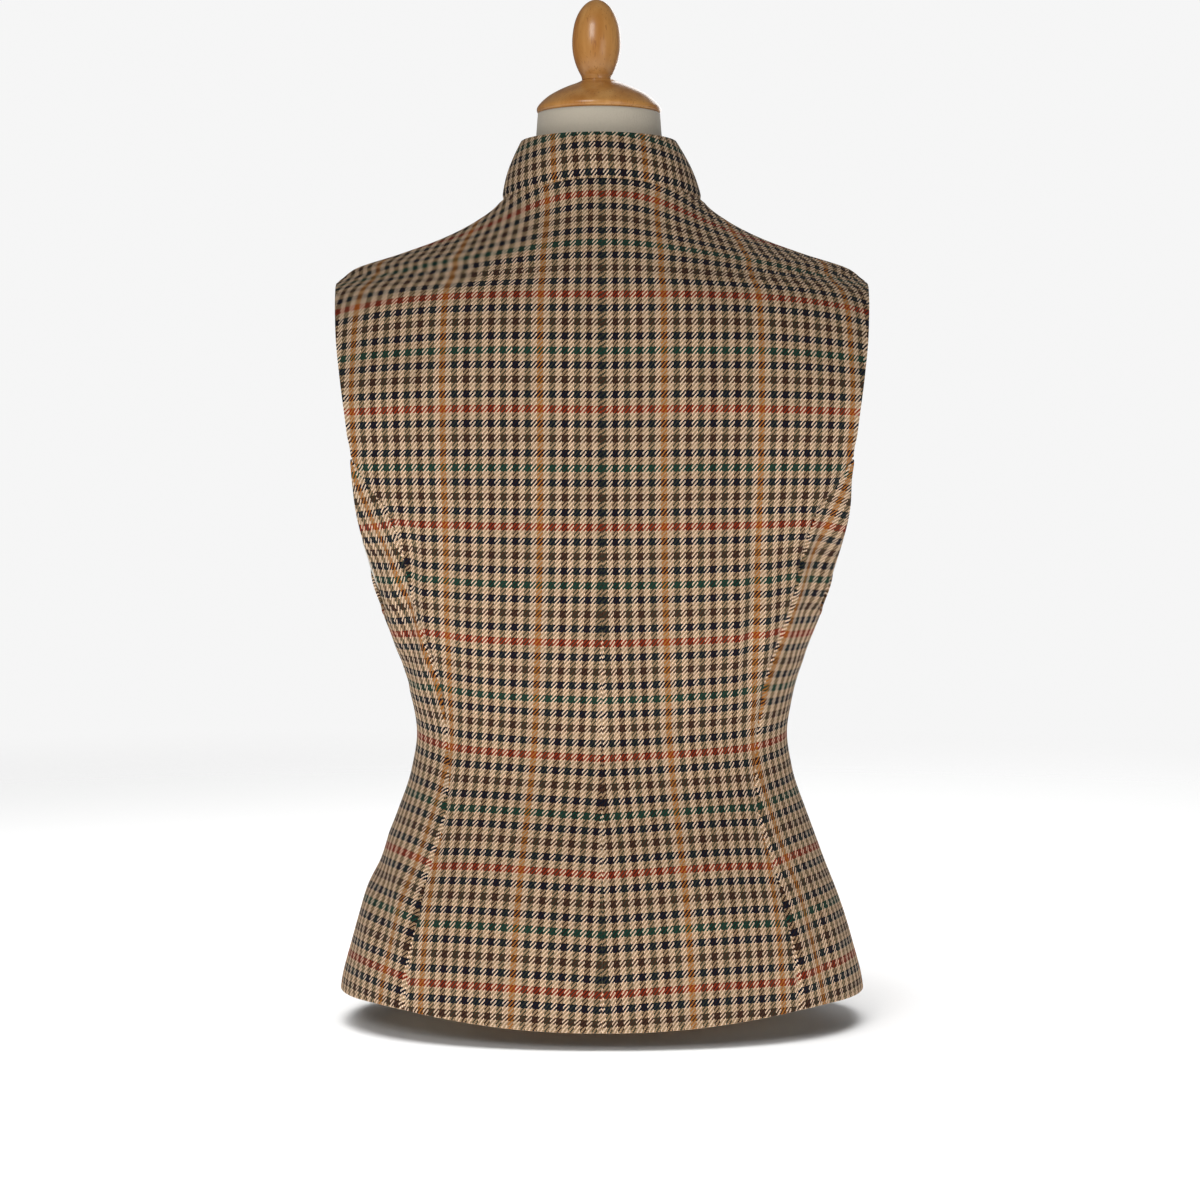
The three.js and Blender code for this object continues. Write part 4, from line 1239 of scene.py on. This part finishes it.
weft_colour = stripe_colours(tree, picks, RED_PICK, WEFT_ORDER, SHADED_CREAM)
warp_shaded, warp_round = shade_thread(tree, warp_colour, end_number, ends, up_cloth)
weft_shaded, weft_round = shade_thread(tree, weft_colour, pick_number, picks, across_cloth)
yarns = blend_colour(tree, "MIX", warp_up, weft_shaded, warp_shaded)
# painted shade along the twill: a sine of the twill's turn makes the warp floats lighter and the weft floats darker
turn_of_twill = calc(tree, "MULTIPLY", calc(tree, "SUBTRACT", ends, calc(tree, "SUBTRACT", picks, 1.5)), np.pi / 2)
rib_shade = calc(tree, "MULTIPLY_ADD", calc(tree, "SINE", turn_of_twill), RIB_SHADE, 1.0 - RIB_SHADE)
# a slow random change of tone, which is then multiplied by the painted rib shade
wear_and_rib_shade = calc(tree, "MULTIPLY_ADD", noise(tree, place.outputs[0], 0.02, 2.0, "2D"), 0.16, 0.92)
wear_and_rib_shade = calc(tree, "MULTIPLY", wear_and_rib_shade, rib_shade)
worn_and_rib_shaded = tree.nodes.new("ShaderNodeVectorMath")
worn_and_rib_shaded.operation = "SCALE"
tree.links.new(yarns, worn_and_rib_shaded.inputs[0])
tree.links.new(wear_and_rib_shade, worn_and_rib_shaded.inputs["Scale"])
tree.links.new(worn_and_rib_shaded.outputs[0], shader.inputs["Base Color"])
raised = calc(tree, "ADD", calc(tree, "MULTIPLY", warp_up, calc(tree, "ADD", warp_round, 0.25)),
              calc(tree, "MULTIPLY", calc(tree, "SUBTRACT", 1.0, warp_up), weft_round))
bump_to(tree, shader, calc(tree, "ADD", raised, calc(tree, "MULTIPLY", hairy, 0.5)), 0.00018)

# %% Jersey, wood, horn and thread
jersey, tree, shader = new_material("jersey", Roughness=0.92, Sheen_Weight=0.3)
spot = tree.nodes.new("ShaderNodeNewGeometry").outputs["Position"]
stretch = tree.nodes.new("ShaderNodeMapping")
stretch.inputs["Scale"].default_value = (900, 900, 500)
tree.links.new(spot, stretch.inputs[0])
knit = noise(tree, stretch.outputs[0], 1.0, 1.0)
mottle = noise(tree, spot, 18.0, 3.0)
shade = calc(tree, "MULTIPLY_ADD", calc(tree, "ADD", knit, mottle), 0.08, 0.92)
tint = tree.nodes.new("ShaderNodeVectorMath")
tint.operation = "SCALE"
tint.inputs[0].default_value = (0.60, 0.535, 0.43)
tree.links.new(shade, tint.inputs["Scale"])
tree.links.new(tint.outputs[0], shader.inputs["Base Color"])
bump_to(tree, shader, knit, 0.0003)

beech, tree, shader = new_material("beech", Roughness=0.34, Coat_Weight=0.35, Coat_Roughness=0.16)
spot = tree.nodes.new("ShaderNodeTexCoord").outputs["Object"]
long_grain = tree.nodes.new("ShaderNodeMapping")
long_grain.inputs["Scale"].default_value = (60, 60, 4)
tree.links.new(spot, long_grain.inputs[0])
rings = noise(tree, long_grain.outputs[0], 1.6, 4.0)
flecks = tree.nodes.new("ShaderNodeMapping")
flecks.inputs["Scale"].default_value = (900, 900, 90)
tree.links.new(spot, flecks.inputs[0])
fleck = calc(tree, "GREATER_THAN", noise(tree, flecks.outputs[0], 1.0, 1.0), 0.66)
ramp = tree.nodes.new("ShaderNodeValToRGB")
ramp.color_ramp.elements[0].position, ramp.color_ramp.elements[0].color = 0.3, linear("#b9772f")
ramp.color_ramp.elements[1].position, ramp.color_ramp.elements[1].color = 0.72, linear("#dba25c")
tree.links.new(rings, ramp.inputs[0])
grain = blend_colour(tree, "MULTIPLY", calc(tree, "MULTIPLY", fleck, 0.35), ramp.outputs[0], linear("#a0662c"))
tree.links.new(grain, shader.inputs["Base Color"])
bump_to(tree, shader, rings, 0.0002, 0.4)

horn, tree, shader = new_material("horn", Roughness=0.3, Coat_Weight=0.3, Coat_Roughness=0.12)
spot = tree.nodes.new("ShaderNodeTexCoord").outputs["Object"]
cloudy = noise(tree, spot, 260.0, 3.0)
ramp = tree.nodes.new("ShaderNodeValToRGB")
ramp.color_ramp.elements[0].position, ramp.color_ramp.elements[0].color = 0.38, linear("#1d120b")
ramp.color_ramp.elements[1].position, ramp.color_ramp.elements[1].color = 0.66, linear("#5b3a1f")
tree.links.new(cloudy, ramp.inputs[0])
tree.links.new(ramp.outputs[0], shader.inputs["Base Color"])

thread, tree, shader = new_material("thread", Roughness=0.8, Base_Color=linear("#2a1d14"))
hole_thread, tree, shader = new_material("buttonhole_thread", Roughness=0.8, Base_Color=linear("#4a3220"))

# %% [markdown]
# ## Hand-over to the frame
#
# Each piece hides the node that it stands for, takes its material slot, and rides on the one body. The flat cuts of
# the seven cloth pieces were noted in sheets as they were cut.

# %% Pieces and slots
for node, piece in cloth_pieces.items():
    piece.data.materials.append(tweed)
    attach(piece, "root")
    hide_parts(node)
for piece, node, material, slot in ((form, "dress_form", jersey, "form_jersey"), (foot, "form_foot", beech, "beech"),
                                    (cap, "neck_cap", beech, "beech"), (finial, "finial", beech, "beech")):
    piece.data.materials.append(material)
    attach(piece, "root")
    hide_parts(node)
for number, (piece, sewn, slit) in enumerate(zip(buttons, threads, buttonholes), 1):
    piece.data.materials.append(horn)
    sewn.data.materials.append(thread)
    slit.data.materials.append(hole_thread)
    for part in (piece, sewn, slit):
        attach(part, "root")
    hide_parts(f"button_{number}")

# %% [markdown]
# ## Floor, light and camera
#
# A pale round floor that fades into a pale background. The garment is lit from the camera's side
# by two broad soft lights, the stronger one on the left, so that the shoulders and the far sides
# fall off gently as in the photo. A light from above falls on the floor alone, to keep it pale.
# The camera stands where the photo was taken from.

# %% Floor
floor_mesh = bpy.data.meshes.new("pale_floor")
floor_turn = np.linspace(0, 2 * np.pi, 96, endpoint=False)
floor_rim = np.stack([3 * np.cos(floor_turn), 3 * np.sin(floor_turn), 0 * floor_turn], -1)
floor_mesh.from_pydata(floor_rim.tolist(), [], [list(range(96))])
floor = bpy.data.objects.new("pale_floor", floor_mesh)
stage_set = bpy.data.collections.new("stage")
bpy.context.scene.collection.children.link(stage_set)
stage_set.objects.link(floor)
pale, tree, shader = new_material("pale_floor", Roughness=0.9, Base_Color=(0.80, 0.80, 0.80, 1.0))
spot = tree.nodes.new("ShaderNodeTexCoord").outputs["Object"]
reach = tree.nodes.new("ShaderNodeVectorMath")
reach.operation = "LENGTH"
tree.links.new(spot, reach.inputs[0])
fade = tree.nodes.new("ShaderNodeMapRange")
fade.interpolation_type = "SMOOTHSTEP"
tree.links.new(reach.outputs["Value"], fade.inputs["Value"])
fade.inputs["From Min"].default_value = 0.45
fade.inputs["From Max"].default_value = 2.6
clear = tree.nodes.new("ShaderNodeBsdfTransparent")
fading = tree.nodes.new("ShaderNodeMixShader")
tree.links.new(fade.outputs[0], fading.inputs[0])
tree.links.new(shader.outputs[0], fading.inputs[1])
tree.links.new(clear.outputs[0], fading.inputs[2])
tree.links.new(fading.outputs[0], tree.nodes["Material Output"].inputs["Surface"])
floor_mesh.materials.append(pale)

# %% Light
world = bpy.data.worlds.new("pale_sky")
bpy.context.scene.world = world
world.use_nodes = True
tree = world.node_tree
sky = tree.nodes["Background"]
sky.inputs[0].default_value = (0.92, 0.92, 0.92, 1.0)
seen = tree.nodes.new("ShaderNodeLightPath").outputs["Is Camera Ray"]
tree.links.new(calc(tree, "MULTIPLY_ADD", seen, 0.85, 0.15), sky.inputs[1])


def soft_light(name, place, target, size, power_watts, colour=(1, 1, 1)):
    data = bpy.data.lights.new(name, "AREA")
    data.shape = "SQUARE"
    data.size = size
    data.energy = power_watts
    data.color = colour
    lamp = bpy.data.objects.new(name, data)
    bpy.context.scene.collection.objects.link(lamp)
    lamp.location = place
    aim = mathutils.Vector(target) - mathutils.Vector(place)
    lamp.rotation_euler = aim.to_track_quat("-Z", "Y").to_euler()
    return lamp


soft_light("key_light", (0.95, 2.3, 1.7), (0, 0, 0.36), 1.0, 27, (1.0, 0.99, 0.975))
soft_light("fill_light", (-1.3, 2.2, 0.5), (0, 0, 0.36), 1.2, 7.5)
soft_light("front_light", (-0.8, -2.3, 1.2), (0, 0, 0.4), 1.4, 16)
above = soft_light("floor_light", (0.2, 0.3, 2.6), (0, 0, 0), 2.2, 120)
above.light_linking.receiver_collection = stage_set

# %% Camera
camera_data = bpy.data.cameras.new("photo_camera")
camera_data.lens = 83.33
camera_data.sensor_width = 36.0
camera_data.shift_y = -0.0833
camera = bpy.data.objects.new("photo_camera", camera_data)
bpy.context.scene.collection.objects.link(camera)
camera.location = (0.00144, 2.0064, 0.372)
camera.rotation_euler = (np.pi / 2, 0, np.pi)
bpy.context.scene.camera = camera
bpy.context.scene.view_settings.view_transform = "Standard"
